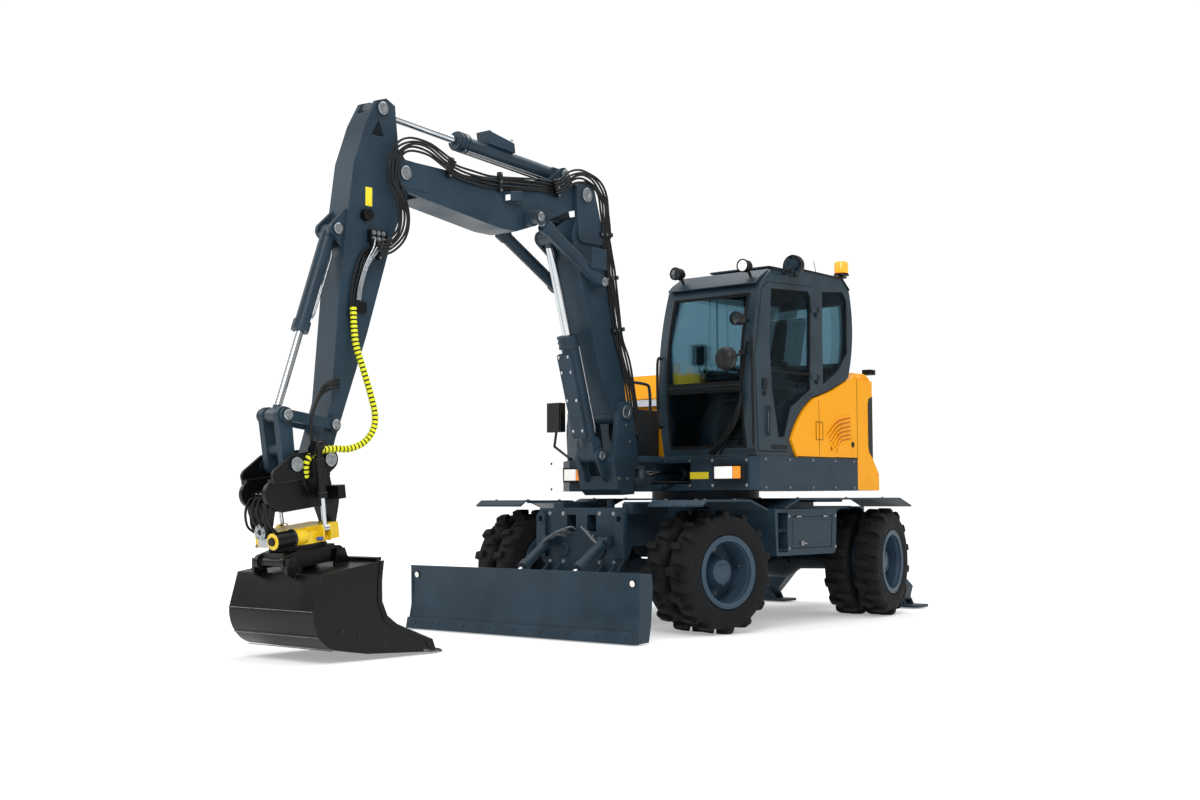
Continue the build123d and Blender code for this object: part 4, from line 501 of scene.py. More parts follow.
@cache
def weld_tree() -> bpy.types.NodeTree:
    """Build the tree that welds a CAD node's loose triangles and shades its round faces smooth."""
    tree, entry, leave = new_geometry_tree("weld_and_smooth", {"Crease": math.radians(32)})
    joined = add_node(tree, "GeometryNodeMergeByDistance", {}, {"Geometry": entry.outputs["Geometry"],
        "Distance": 0.00002})
    soft = add_node(tree, "GeometryNodeSetShadeSmooth", {"domain": "FACE"},
        {"Geometry": joined.outputs[0], "Shade Smooth": True})
    angle = add_node(tree, "GeometryNodeInputMeshEdgeAngle")
    sharp = add_node(tree, "FunctionNodeCompare", {"data_type": "FLOAT", "operation": "GREATER_THAN"},
        {0: angle.outputs[0], 1: entry.outputs["Crease"]})
    creased = add_node(tree, "GeometryNodeSetShadeSmooth", {"domain": "EDGE"},
        {"Geometry": soft.outputs[0], "Selection": sharp.outputs[0], "Shade Smooth": False})
    tree.links.new(creased.outputs[0], leave.inputs[0])
    return tree


def run_tree(tree: bpy.types.NodeTree, mesh: bpy.types.Mesh, values: dict[str, object]) -> bpy.types.Mesh:
    """Run a Geometry Nodes tree on a mesh and return the plain result.

    Args:
        tree: The tree.
        mesh: The mesh that it starts from.
        values: Values of its named inputs.

    Returns:
        The result as a mesh of its own.
    """
    carrier = bpy.data.objects.new("carrier", mesh)
    bpy.context.scene.collection.objects.link(carrier)
    modifier = carrier.modifiers.new("tree", "NODES")
    modifier.node_group = tree
    for item in tree.interface.items_tree:
        if item.in_out == "INPUT" and item.name in values:
            modifier[item.identifier] = values[item.name]
    graph = bpy.context.evaluated_depsgraph_get()
    result = bpy.data.meshes.new_from_object(carrier.evaluated_get(graph), depsgraph=graph)
    bpy.data.objects.remove(carrier)
    return result


@dataclass
class Shape:
    """A mesh being put together, in millimetres from the slew axis."""

    place: Matrix = field(default_factory=lambda: TO_FRAME.copy())
    work: bmesh.types.BMesh = field(default_factory=bmesh.new)

    def prism(self, outline: Sequence[tuple[float, float]], axis: str, start: float, end: float) -> "Shape":
        """Add an outline pushed straight along an axis.

        Args:
            outline: Points in the two other axes, in the order y z, x z or x y.
            axis: One of x, y and z.
            start: Where it starts along the axis.
            end: Where it ends.

        Returns:
            This shape.
        """
        spot = {"x": lambda d, p: (d, *p), "y": lambda d, p: (p[0], d, p[1]), "z": lambda d, p: (*p, d)}[axis]
        return self.loft([[spot(start, p) for p in outline], [spot(end, p) for p in outline]])

    def loft(self, sections: Sequence[Sequence[Sequence[float]]]) -> "Shape":
        """Add a solid skinned over closed sections, with both ends closed.

        Args:
            sections: Each section's points, the same number in all.

        Returns:
            This shape.
        """
        rows = [[self.work.verts.new(p) for p in section] for section in sections]
        for near, far in zip(rows, rows[1:]):
            for i in range(len(near)):
                j = (i + 1) % len(near)
                self.work.faces.new((near[i], near[j], far[j], far[i]))
        self.work.faces.new(rows[0])
        self.work.faces.new(rows[-1])
        return self

    def block(self, corner: Sequence[float], opposite: Sequence[float]) -> "Shape":
        """Add a block between two opposite corners, given in any order."""
        low, high = [[choose(pair) for pair in zip(corner, opposite)] for choose in (min, max)]
        return self.prism([(low[0], low[1]), (high[0], low[1]), (high[0], high[1]), (low[0], high[1])], "z",
            low[2], high[2])

    def lathe(self, profile: Sequence[tuple[float, float]], origin: Sequence[float], axis: Sequence[float],
              sides: int = 40, ring: bool = False) -> "Shape":
        """Add a profile turned round an axis.

        Args:
            profile: Points of distance along the axis and radius.
            origin: Where the axis starts.
            axis: Its direction.
            sides: How many steps a turn has.
            ring: Whether the profile closes on itself.

        Returns:
            This shape.
        """
        turn = Vector(axis).to_track_quat("Z", "Y").to_matrix().to_4x4()
        seat = Matrix.Translation(origin) @ turn
        rows = []
        for along, radius in profile:
            count = 1 if radius < 0.01 else sides
            rows.append([self.work.verts.new(seat @ Vector((radius * math.cos(math.tau * i / sides),
                radius * math.sin(math.tau * i / sides), along))) for i in range(count)])
        pairs = list(zip(rows, rows[1:])) + ([(rows[-1], rows[0])] if ring else [])
        for low, high in pairs:
            for i in range(sides):
                j = (i + 1) % sides
                corners = [low[i % len(low)], low[j % len(low)], high[j % len(high)], high[i % len(high)]]
                self.work.faces.new(list(dict.fromkeys(corners)))
        if not ring:
            for row in (rows[0], rows[-1]):
                if len(row) > 1:
                    self.work.faces.new(row)
        return self

    def bar(self, start: Sequence[float], end: Sequence[float], radius: float, sides: int = 24,
            far_radius: float | None = None) -> "Shape":
        """Add a round bar, or a cone where the far radius differs.

        Args:
            start: The middle of its first end.
            end: The middle of its other end.
            radius: Its radius.
            sides: How many faces go round it.
            far_radius: The radius at the other end, where it differs.

        Returns:
            This shape.
        """
        axis = Vector(end) - Vector(start)
        far = radius if far_radius is None else far_radius
        return self.lathe([(0, radius), (axis.length, far)], start, axis, sides)

    def mesh(self) -> bpy.types.Mesh:
        """Close the shape into a mesh in the frame's metres, faces outwards."""
        bmesh.ops.remove_doubles(self.work, verts=self.work.verts, dist=0.005)
        bmesh.ops.recalc_face_normals(self.work, faces=self.work.faces)
        bmesh.ops.transform(self.work, matrix=self.place, verts=self.work.verts)
        if self.place.determinant() < 0:
            bmesh.ops.reverse_faces(self.work, faces=self.work.faces)
        made = bpy.data.meshes.new("shape")
        self.work.to_mesh(made)
        self.work.free()
        return made

    def add(self, name: str, finish: Finish, body: str = "upper", bevel_mm: float = 0.0,
            crease: float = 35.0) -> bpy.types.Object:
        """Finish the shape as a piece, on the revolving upper body unless another is named."""
        return piece(self.mesh(), name, finish, body, bevel_mm, crease)


def lines_mesh(paths: Iterable[Sequence[Sequence[float]]], closed: bool = False,
               place: Matrix = TO_FRAME) -> bpy.types.Mesh:
    """Make a mesh of edge paths in the frame's metres.

    Args:
        paths: Paths of points in millimetres.
        closed: Whether each path ends where it starts.
        place: What moves the points into the frame.

    Returns:
        The mesh of edges.
    """
    points, edges = [], []
    for path in paths:
        first = len(points)
        points += [place @ Vector(p) for p in path]
        edges += [(i, i + 1) for i in range(first, len(points) - 1)]
        if closed:
            edges.append((len(points) - 1, first))
    made = bpy.data.meshes.new("paths")
    made.from_pydata(points, edges, [])
    return made


def flowing(points: Sequence[Sequence[float]], steps: int = 6) -> list[Vector]:
    """Run a smooth path through points.

    Args:
        points: Points in millimetres.
        steps: How many points each span gets.

    Returns:
        The finer path.
    """
    spots = [Vector(p) for p in points]
    padded = [2 * spots[0] - spots[1], *spots, 2 * spots[-1] - spots[-2]]
    path = []
    for a, b, c, d in zip(padded, padded[1:], padded[2:], padded[3:]):
        for i in range(steps):
            t = i / steps
            path.append(0.5 * (2 * b + (c - a) * t + (2 * a - 5 * b + 4 * c - d) * t ** 2 + (
                3 * b - a - 3 * c + d) * t ** 3))
    return [*path, spots[-1]]


def piece(mesh: bpy.types.Mesh, name: str, finish: Finish, body: str | None = "upper",
          bevel_mm: float = 0.0, crease: float = 35.0) -> bpy.types.Object:
    """Finish a mesh as a piece of the machine.

    Args:
        mesh: The mesh in the frame's metres.
        name: The piece's name.
        finish: Its finish.
        body: The body that carries it, or None for a piece that stays on no body.
        bevel_mm: Width of its rounded edges.
        crease: Angle in degrees past which an edge stays sharp.

    Returns:
        The new object.
    """
    mesh.name = name
    mesh.materials.clear()
    mesh.materials.append(material_of(finish))
    mesh.shade_smooth()
    mesh.set_sharp_from_angle(angle=math.radians(crease))
    made = bpy.data.objects.new(name, mesh)
    bpy.context.scene.collection.objects.link(made)
    if bevel_mm:
        rounding = made.modifiers.new("rounding", "BEVEL")
        rounding.width = bevel_mm * MM
        rounding.segments = 2
        rounding.limit_method = "ANGLE"
        rounding.angle_limit = math.radians(35)
        rounding.harden_normals = True
    if body:
        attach(made, body)
    LOG.info("piece %s, %d faces", name, len(mesh.polygons))
    return made


def tubes(paths: Iterable[Sequence[Sequence[float]]], radius_mm: float, name: str, finish: Finish,
          body: str | None = "upper", sides: int = 10, closed: bool = False,
          place: Matrix = TO_FRAME) -> bpy.types.Object:
    """Make round tubes along paths as one piece.

    Args:
        paths: Paths of points in millimetres.
        radius_mm: The tubes' radius.
        name: The piece's name.
        finish: Its finish.
        body: The body that carries it, or None.
        sides: Faces round a tube.
        closed: Whether each path ends where it starts.
        place: What moves the points into the frame.

    Returns:
        The new object.
    """
    made = run_tree(tube_tree(), lines_mesh(paths, closed, place),
        {"Radius": radius_mm * MM, "Sides": sides, "Finish": material_of(finish)})
    return piece(made, name, finish, body, crease=60)


def heads(spots: Iterable[tuple[Sequence[float], Sequence[float]]], size_mm: float, name: str, body: str,
          finish: Finish = ZINC, place: Matrix = TO_FRAME) -> bpy.types.Object:
    """Make hexagon heads at points as one piece.

    Args:
        spots: Each head's point and the direction that it faces.
        size_mm: Half the head's width over its corners.
        name: The piece's name.
        body: The body that carries it.
        finish: Its finish.
        place: What moves the points into the frame.

    Returns:
        The new object.
    """
    spots = list(spots)
    points = bpy.data.meshes.new("points")
    points.from_pydata([place @ Vector(p) for p, _ in spots], [], [])
    facing = points.attributes.new("facing", "FLOAT_VECTOR", "POINT")
    turn = place.to_3x3()
    for i, (_, way) in enumerate(spots):
        facing.data[i].vector = (turn @ Vector(way)).normalized()
    made = run_tree(fastener_tree(), points, {"Head": size_mm * MM, "Height": size_mm * 0.75 * MM,
        "Finish": material_of(finish)})
    return piece(made, name, finish, body)


def bend(made: bpy.types.Object) -> None:
    """Bake a piece's placement into its mesh; the piece stays on no body."""
    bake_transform(made)


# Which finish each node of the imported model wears
NODE_FINISHES: dict[Finish, tuple[str, ...]] = {
    SLATE: (
        "chassis_frame", "tie_down_ears", "fenders", "side_boxes", "blade", "stabilizer_left",
        "stabilizer_right",
        "upper_deck", "fuel_tank", "swing_post", "lower_boom", "boom_barrel", "upper_boom", "adjust_barrels",
        "arm",
        "arm_barrel", "guide_links", "bucket_link", "bucket_barrel", "swing_barrel", "blade_lift_barrels",
    ),
    SLATE_DARK: (
        "axles", "knuckle_front_left", "knuckle_front_right", "knuckle_rear_left", "knuckle_rear_right",
        "rear_door",
    ),
    CAB_PAINT: ("cab_shell", "cab_door"),
    AMBER_ENAMEL: ("counterweight", "engine_hood", "left_cover"),
    BLACK_ENAMEL: ("tool_hitch", "lower_hitch", "bucket", "tilt_barrel_left", "tilt_barrel_right"),
    ROTOR_ENAMEL: ("rotor_housing",),
    RIM_PAINT: ("wheel_front_left", "wheel_front_right", "wheel_rear_left", "wheel_rear_right"),
    TYRE: ("tyres_front_left", "tyres_front_right", "tyres_rear_left", "tyres_rear_right"),
    GLASS: ("cab_glass", "door_glass"),
    PLASTIC: ("cab_interior", "lamps"),
    MIRROR_SHELL: ("mirrors",),
    ENGINE_METAL: ("engine",),
}

# Rod nodes with their painted eyes: centre (y, z) in millimetres from the slew axis, and its reach
ROD_EYES: dict[str, tuple[float, float, float]] = {
    "boom_rod": (-2140, 3217, 88), "adjust_rods": (-2533, 3303, 78), "arm_rod": (-4032, 3907, 84),
    "bucket_rod": (-4880, 1652, 74), "blade_lift_rods": (-2300, 400, 52), "swing_rod": (-1155, 1295, 62),
    "tilt_rod_left": (-4683.8, 880.2, 36), "tilt_rod_right": (-4683.8, 880.2, 36),
}


@dataclass
class PaintShop:
    """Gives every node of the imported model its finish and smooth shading."""

    nodes: dict[str, bpy.types.Object]

    def dress(self, name: str, finish: Finish) -> None:
        """Give one node its finish and weld its triangles in a modifier.

        Args:
            name: The node's name.
            finish: Its finish.
        """
        node = self.nodes[name]
        node.data.materials.clear()
        node.data.materials.append(material_of(finish))
        modifier = node.modifiers.new("weld_and_smooth", "NODES")
        modifier.node_group = weld_tree()

    def run(self) -> None:
        """Dress all nodes."""
        for finish, names in NODE_FINISHES.items():
            for name in names:
                self.dress(name, finish)
        for name, (y, z, reach) in ROD_EYES.items():
            eye = TO_FRAME @ Vector((0, y, z))
            self.dress(name, Finish(f"hard_chrome_{name}", CHROME.colour, CHROME.cloud, CHROME.roughness,
                metallic=1.0, gloss_change=0.03, grain_mm=3, relief_mm=0.02, pattern=Pattern.BRUSHED,
                paint_from=tuple(eye), paint_over_mm=reach))
        LOG.info("dressed %d nodes", len(self.nodes))


@dataclass
class Studio:
    """The pale floor, the soft light and the camera at the photograph's viewing angle."""

    camera_at: tuple[float, float, float] = (8.3682, -9.9273, 1.0803)
    azimuth: float = 40.485
    pitch: float = 3.7125
    roll: float = -0.1794
    lens_mm: float = 45.756
    floor_half: float = 90.0

    def floor(self) -> None:
        """Lay the white floor, lit enough to meet the white background."""
        half = self.floor_half
        mesh = bpy.data.meshes.new("floor")
        mesh.from_pydata([(-half, -half, 0), (half, -half, 0), (half, half, 0), (-half, half, 0)], [],
            [(0, 1, 2, 3)])
        floor = bpy.data.objects.new("floor", mesh)
        bpy.context.scene.collection.objects.link(floor)
        material = bpy.data.materials.new("paper_floor")
        material.use_nodes = True
        surface = material.node_tree.nodes["Principled BSDF"]
        for label, value in (("Base Color", (0.72, 0.72, 0.72, 1)), ("Roughness", 0.9),
                             ("Specular IOR Level", 0.0),
                             ("Emission Color", (1, 1, 1, 1))):
            surface.inputs[label].default_value = value
        tree = material.node_tree
        place = add_node(tree, "ShaderNodeTexCoord").outputs["Object"]
        reach = add_node(tree, "ShaderNodeVectorMath", {"operation": "LENGTH"}, {0: place}).outputs["Value"]
        tree.links.new(remap(tree, reach, (6.0, 16.0), (0.34, 0.85)), surface.inputs["Emission Strength"])
        mesh.materials.append(material)

    def world(self) -> None:
        """Light the scene by a white sky that is dimmer at the horizon than the camera sees it."""
        world = bpy.data.worlds.new("studio")
        bpy.context.scene.world = world
        world.use_nodes = True
        tree = world.node_tree
        tree.nodes.clear()
        way = add_node(tree, "ShaderNodeTexCoord").outputs["Generated"]
        height = add_node(tree, "ShaderNodeSeparateXYZ", {}, {"Vector": way}).outputs["Z"]
        sky = remap(tree, height, (-0.1, 0.9), (0.30, 0.95))
        seen = add_node(tree, "ShaderNodeLightPath").outputs["Is Camera Ray"]
        strength = add_node(tree, "ShaderNodeMix", {}, {0: seen, 2: sky, 3: 1.05}).outputs[0]
        light = add_node(tree, "ShaderNodeBackground", {}, {"Color": (1, 1, 1, 1), "Strength": strength})
        add_node(tree, "ShaderNodeOutputWorld", {}, {"Surface": light.outputs[0]})

    def softbox(self, name: str, at: Sequence[float], aim: Sequence[float], size: float,
                power: float) -> None:
        """Hang one square soft light that faces a point.

        Args:
            name: The light's name.
            at: Where it hangs, in metres.
            aim: The point that it faces.
            size: Its side in metres.
            power: Its power in watts.
        """
        lamp = bpy.data.lights.new(name, "AREA")
        lamp.size = size
        lamp.energy = power
        holder = bpy.data.objects.new(name, lamp)
        holder.location = at
        holder.rotation_mode = "QUATERNION"
        holder.rotation_quaternion = (Vector(aim) - Vector(at)).to_track_quat("-Z", "Y")
        bpy.context.scene.collection.objects.link(holder)

    def camera(self) -> None:
        """Set the camera at the photograph's place, direction and lens."""
        turn, rise, roll = (math.radians(v) for v in (self.azimuth, self.pitch, self.roll))
        ahead = Vector((-math.sin(turn) * math.cos(rise), math.cos(turn) * math.cos(rise), math.sin(rise)))
        right = Vector((math.cos(turn), math.sin(turn), 0))
        upward = right.cross(ahead)
        rolled_right = right * math.cos(roll) + upward * math.sin(roll)
        rolled_up = upward * math.cos(roll) - right * math.sin(roll)
        lens = bpy.data.cameras.new("camera")
        lens.lens = self.lens_mm
        lens.sensor_width = 36
        lens.clip_end = 400
        holder = bpy.data.objects.new("camera", lens)
        holder.matrix_world = Matrix((rolled_right, rolled_up, -ahead)).transposed().to_4x4()
        holder.location = self.camera_at
        bpy.context.scene.collection.objects.link(holder)
        bpy.context.scene.camera = holder

    def build(self) -> None:
        """Build the whole studio."""
        self.floor()
        self.world()
        self.softbox("key", (7, -9, 9), (0, 0, 1.5), 5, 620)
        self.softbox("fill", (-8, -6, 6), (0, 0, 1.5), 5, 200)
        self.softbox("top", (0, 2, 10), (0, 0, 0), 7, 520)
        self.camera()
        bpy.context.scene.view_settings.view_transform = "Standard"


def around(count: int, radius: float, start: float = 0.0) -> list[tuple[float, float]]:
    """Return points spread evenly round a circle, from a starting angle in radians."""
    angles = [start + math.tau * i / count for i in range(count)]
    return [(radius * math.cos(a), radius * math.sin(a)) for a in angles]


def lattice(way: Sequence[float], xs: Iterable[float], ys: Iterable[float],
            zs: Iterable[float]) -> list[tuple]:
    """Return fastener spots at every crossing of three rows of coordinates, all facing one way."""
    return [((x, y, z), way) for x in xs for y in ys for z in zs]


def flanks(x: float, spots: Iterable[tuple[float, float]]) -> list[tuple]:
    """Return fastener spots at (y, z) points of both sides, facing outwards."""
    return [((side * x, y, z), (side, 0, 0)) for side in SIDES for y, z in spots]


def joined(meshes: Iterable[bpy.types.Mesh]) -> bpy.types.Mesh:
    """Join meshes into one.

    Args:
        meshes: The meshes, all in the same space.

    Returns:
        A new mesh with all their faces.
    """
    work = bmesh.new()
    for mesh in meshes:
        work.from_mesh(mesh)
    made = bpy.data.meshes.new("joined")
    work.to_mesh(made)
    work.free()
    return made


def circle_through(a: Sequence[float], b: Sequence[float], c: Sequence[float]) -> tuple[float, float, float]:
    """Find the circle through three points of a plane.

    Args:
        a: The first point.
        b: The second point.
        c: The third point.

    Returns:
        The two coordinates of its centre, and its radius.
    """
    turn = 2 * (a[0] * (b[1] - c[1]) + b[0] * (c[1] - a[1]) + c[0] * (a[1] - b[1]))
    squares = [p[0] ** 2 + p[1] ** 2 for p in (a, b, c)]
    first = (squares[0] * (b[1] - c[1]) + squares[1] * (c[1] - a[1]) + squares[2] * (a[1] - b[1])) / turn
    second = (squares[0] * (c[0] - b[0]) + squares[1] * (a[0] - c[0]) + squares[2] * (b[0] - a[0])) / turn
    return first, second, math.dist((first, second), a)


def bundle(points: Sequence[Sequence[float]], count: int, spacing: float,
           sway: float = 3.0) -> list[list[Vector]]:
    """Lay hoses side by side along one side-view path.

    Args:
        points: The middle path in millimetres.
        count: How many hoses there are.
        spacing: The distance between two of them.
        sway: How far each strays from its lane.

    Returns:
        One path for each hose.
    """
    middle = flowing(points)
    lanes = []
    for lane in range(count):
        shift = (lane - (count - 1) / 2) * spacing
        path = []
        for i, spot in enumerate(middle):
            ahead = middle[min(i + 1, len(middle) - 1)] - middle[max(i - 1, 0)]
            beside = ahead.cross(Vector((1, 0, 0))).normalized()
            inside = math.sin(math.pi * i / (len(middle) - 1))
            wander = sway * inside * math.sin(1.7 * lane + 0.31 * i)
            path.append(spot + beside * (shift + wander) + Vector((wander * 0.6 * (-1) ** lane, 0, 0)))
        lanes.append(path)
    return lanes


@dataclass
class TwinWheel:
    """One steered corner: two lugged tyres on dished rims with a planetary hub."""

    corner: str
    axle_y: float
    turn: float
    kingpin_x: float = 834.0
    axle_z: float = 495.0
    tyre_xs: tuple[float, float] = (839.0, 1124.0)
    lugs: int = 14
    hub_face_x: float = 1158.0

    @property
    def place(self) -> Matrix:
        """Return what moves the straight left-hand wheel to this corner."""
        side = 1 if self.corner.endswith("left") else -1
        mirror = Matrix.Scale(side, 4, (1, 0, 0))
        return (TO_FRAME @ Matrix.Translation((side * self.kingpin_x, self.axle_y,
            self.axle_z)) @ Matrix.Rotation(math.radians(self.turn), 4,
            "Z") @ Matrix.Translation((-side * self.kingpin_x, 0, 0)) @ mirror)

    def carcass(self, x: float) -> bpy.types.Mesh:
        """Build one tyre's body with its bead, ribbed wall and crowned tread.

        Args:
            x: The tyre's middle.

        Returns:
            The body's mesh.
        """
        half_section = [(97.7, 262.5), (97.7, 286), (101, 296), (107, 304), (107.5, 312), (111.5, 315),
            (113, 330), (115, 333), (115, 341), (113.5, 344), (115.2, 360), (117, 363), (117, 369),
            (115.5, 372), (115.8, 396), (113, 420), (107, 438), (96, 448), (80, 453), (45, 455)]
        profile = half_section + [(-a, r) for a, r in reversed(half_section)]
        return Shape(Matrix.Identity(4)).lathe(profile, (x, 0, 0), (1, 0, 0), 72, ring=True).mesh()

    def lug(self, x: float, sign: int) -> bpy.types.Mesh:
        """Return one lug that runs from the tread's middle down over the shoulder."""
        stations = [((-16, 492.7), (-16, 446), -20, 26), ((40, 492.7), (40, 446), -28, 22),
            ((84, 491.5), (82, 444), -40, 15), ((104, 482), (96, 438), -45, 9),
            ((116.5, 458), (104, 430), -47, 6), ((119.5, 430), (110, 414), -44, 2),
            ((117.5, 404), (112, 402), -36, -6)]
        return Shape(Matrix.Identity(4)).loft([[(x + sign * a, sign * b, r) for a, b,
            r in ((outer_x, low, outer_r), (outer_x, high, outer_r), (inner_x, high + 5, inner_r),
            (inner_x, low - 5, inner_r))] for (outer_x, outer_r), (inner_x, inner_r), low,
            high in stations]).mesh()

    def tyres(self) -> None:
        """Build both tyres as one piece and let it stand for the plain ones."""
        meshes = []
        for x in self.tyre_xs:
            meshes.append(self.carcass(x))
            for sign in SIDES:
                start = 0.0 if sign > 0 else math.pi / self.lugs
                meshes.append(run_tree(ring_tree(), self.lug(x, sign),
                    {"Count": self.lugs, "Start": start, "Finish": material_of(TYRE)}))
        mesh = joined(meshes)
        mesh.transform(self.place)
        if self.place.determinant() < 0:
            mesh.flip_normals()
        made = piece(mesh, f"lugged_tyres_{self.corner}", TYRE, f"wheel_{self.corner}", bevel_mm=3.0)
        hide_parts(f"tyres_{self.corner}")

    def rims(self) -> None:
        """Build the rolled rim beads, the hub's cap and the fasteners."""
        shape = Shape(self.place)
        for x, out in zip(self.tyre_xs, (-1, 1)):
            bowl = [(112, 291), (114, 287), (113, 281), (106, 276), (103, 266), (94, 258), (84, 254),
                (80, 246.5), (58, 243), (52, 246.5), (-60, 246.5), (-60, 248.2), (80, 248.2), (98, 262),
                (98, 291)]
            shape.lathe([(out * a, r) for a, r in bowl], (x, 0, 0), (1, 0, 0), 72, ring=True)
        face = self.hub_face_x
        shape.lathe([(-46, 99), (-40, 103), (-22, 103), (-16, 98), (-4, 97), (2, 90), (2, 62), (7, 58),
            (9, 40), (9, 0)], (face, 0, 0), (1, 0, 0), 48)
        shape.lathe([(0, 212), (5, 210), (5, 168), (0, 166)], (993.5, 0, 0), (1, 0, 0), 60, ring=True)
        shape.add(f"rim_dress_{self.corner}", RIM_PAINT, f"wheel_{self.corner}", crease=28)
        nuts = [((998.5, *spot), (1, 0, 0)) for spot in around(10, 190)]
        caps = [((face + 2, *spot), (1, 0, 0)) for spot in around(12, 76, math.tau / 24)]
        heads(nuts, 16, f"wheel_nuts_{self.corner}", f"wheel_{self.corner}", ZINC, self.place)
        heads(caps, 8, f"hub_bolts_{self.corner}", f"wheel_{self.corner}", RIM_PAINT, self.place)
        tubes([[(1060, 236, 30), (1085, 232, 34), (1110, 222, 38)]], 4.5, f"valve_stem_{self.corner}", ZINC,
            f"wheel_{self.corner}", place=self.place)

    def build(self) -> None:
        """Build the whole corner."""
        self.tyres()
        self.rims()


@dataclass
class Undercarriage:
    """What the chassis carries: box lids, bolts, mudguard edges, hoses, reflectors and steering cylinders."""

    box_side_x: float = 1200.0
    box_levels: tuple[float, float] = (600.0, 990.7)
    fender_edge_x: float = 1240.0

    def boxes(self) -> None:
        """Give each tool box its framed lid, hinges, lever latch and open grating step."""
        low, high = self.box_levels
        for side, label in NAMED_SIDES:
            x = side * (self.box_side_x - 12)
            lid = Shape().prism([(-408, high - 68), (240, high - 68), (222, low + 63), (-408, low + 63)], "x",
                x, x + side * 8)
            lid.prism([(-380, high - 96), (206, high - 96), (192, low + 92), (-380, low + 92)], "x",
                x + side * 8, x + side * 13)
            lid.add(f"box_lid_{label}", SLATE, "chassis", bevel_mm=4)
            hinges = Shape()
            for y in (-300, 120):
                hinges.bar((x + side * 14, y - 34, high - 64), (x + side * 14, y + 34, high - 64), 8)
            hinges.block((x, -270, low + 82), (x + side * 24, -226, low + 118))
            hinges.bar((x + side * 24, -248, low + 100), (x + side * 24, -190, low + 96), 6)
            hinges.add(f"box_hinges_{label}", ZINC, "chassis", bevel_mm=1)
            for level in (0, 1):
                tread = run_tree(row_tree(), Shape().block((side * 966, -610, low + 34 + 165 * level),
                    (side * 1194, -606, low + 60 + 165 * level)).mesh(),
                    {"Count": 6, "Step": (0, 0.026, 0), "Finish": material_of(SLATE)})
                piece(tread, f"step_grating_{label}_{level}", SLATE, "chassis")
        heads(flanks(self.box_side_x, [(y, z) for y in (-445, 285) for z in (660, 930)]), 11, "box_bolts",
            "chassis")

    def mudguards(self) -> None:
        """Roll the mudguards' outer edges, and rivet their tops with anti-slip studs."""
        studs = Shape()
        for side in SIDES:
            for y in (-1600, -260):
                studs.lathe([(0, 9), (3, 8), (5, 5), (5, 0)], (side * 740, y, 1063 if y < -1000 else 1076),
                    (0, 0, 1), 8)
        row = run_tree(row_tree(), studs.mesh(), {"Count": 14, "Step": (0, 0.036, 0),
            "Finish": material_of(SLATE)})
        grids = []
        for lane in range(13):
            moved = row.copy()
            for vertex in moved.vertices:
                vertex.co.x += math.copysign(0.036 * lane, vertex.co.x)
            grids.append(moved)
        piece(joined(grids), "mudguard_studs", SLATE, "chassis")
        edges = []
        for side in SIDES:
            x = side * (self.fender_edge_x - 4)
            edges.append([(x, -1720, 1023), (x, -1660, 1063), (x, -1055, 1063), (x, -812, 985)])
            edges.append([(x, -560, 999), (x, -331, 1076), (x, 1365, 1076), (x, 1570, 1007)])
        tubes(edges, 9, "mudguard_edges", SLATE, "chassis", sides=12)
        heads([((side * x, y, z), (0, 0, 1)) for side in SIDES for x in (760, 1150) for y,
            z in ((-1560, 1070), (-1160, 1070), (-230, 1083), (1200, 1083))], 12, "mudguard_bolts", "chassis")

    def front_plate(self) -> None:
        """Bolt the front plate, and run the blade's hoses."""
        heads(lattice((0, -1, 0), (-350, -200, 200, 350), [-1730], (560, 960)), 13, "plate_bolts", "chassis")
        bushes = Shape()
        for side in SIDES:
            bushes.lathe([(0, 46), (4, 46), (4, 27), (0, 27)], (side * 430, -1762, 915), (0, -1, 0), 32,
                ring=True)
            bushes.lathe([(0, 60), (10, 60), (14, 54), (14, 0)], (side * 200, -1730, 660), (0, -1, 0), 32)
        bushes.add("eye_rings", SLATE, "chassis", crease=30)
        for side, label in NAMED_SIDES:
            paths = [flowing([(side * (a + 26 * i), -1738, 830 - 30 * i),
                (side * (a + 40 * i), -1800, 850 - 34 * i), (side * (180 + 30 * i), -1862, 800 - 22 * i),
                (side * (262 + 22 * i), -1885, 742 - 14 * i)]) for i, a in enumerate((60, 84, 108))]
            made = tubes(paths, 9, f"blade_hoses_{label}", BRAID, None)
            bend(made)

    def steering(self) -> None:
        """Add the steering cylinders behind each axle, fixed to its casing as in the photograph."""
        for (name, y), back in zip(AXLE_YS.items(), (1, -1)):
            shape = Shape().bar((-210, y + back * 118, 495), (210, y + back * 118, 495), 34)
            for side in SIDES:
                shape.bar((side * 196, y + back * 118, 495), (side * 214, y + back * 118, 495), 42)
                shape.block((side * 150 - 18, y + back * 60, 470), (side * 150 + 18, y + back * 118, 520))
            shape.add(f"steering_barrel_{name}", SLATE_DARK, "chassis", bevel_mm=2)

    def underside(self) -> None:
        """Run brake and axle lines along the chassis and bolt the axle seats."""
        lines = [flowing([(side * d, -1100, 640), (side * d, -700, 600), (side * d, 0, 596),
            (side * d, 600, 600), (side * d, 980, 640)], 4) for side in SIDES for d in (338, 352)]
        tubes(lines, 6, "axle_lines", ZINC, "chassis", sides=8)
        heads([((x, y + dy, 640), (0, 0, -1)) for x in (-90, 90) for y in AXLE_YS.values()
            for dy in (-80, 80)], 14, "axle_bolts", "chassis")
        heads([((520 * x, 470 * y, 1006), (0, 0, 1)) for x, y in around(8, 1, 0.2)], 12, "ring_bolts",
            "chassis")

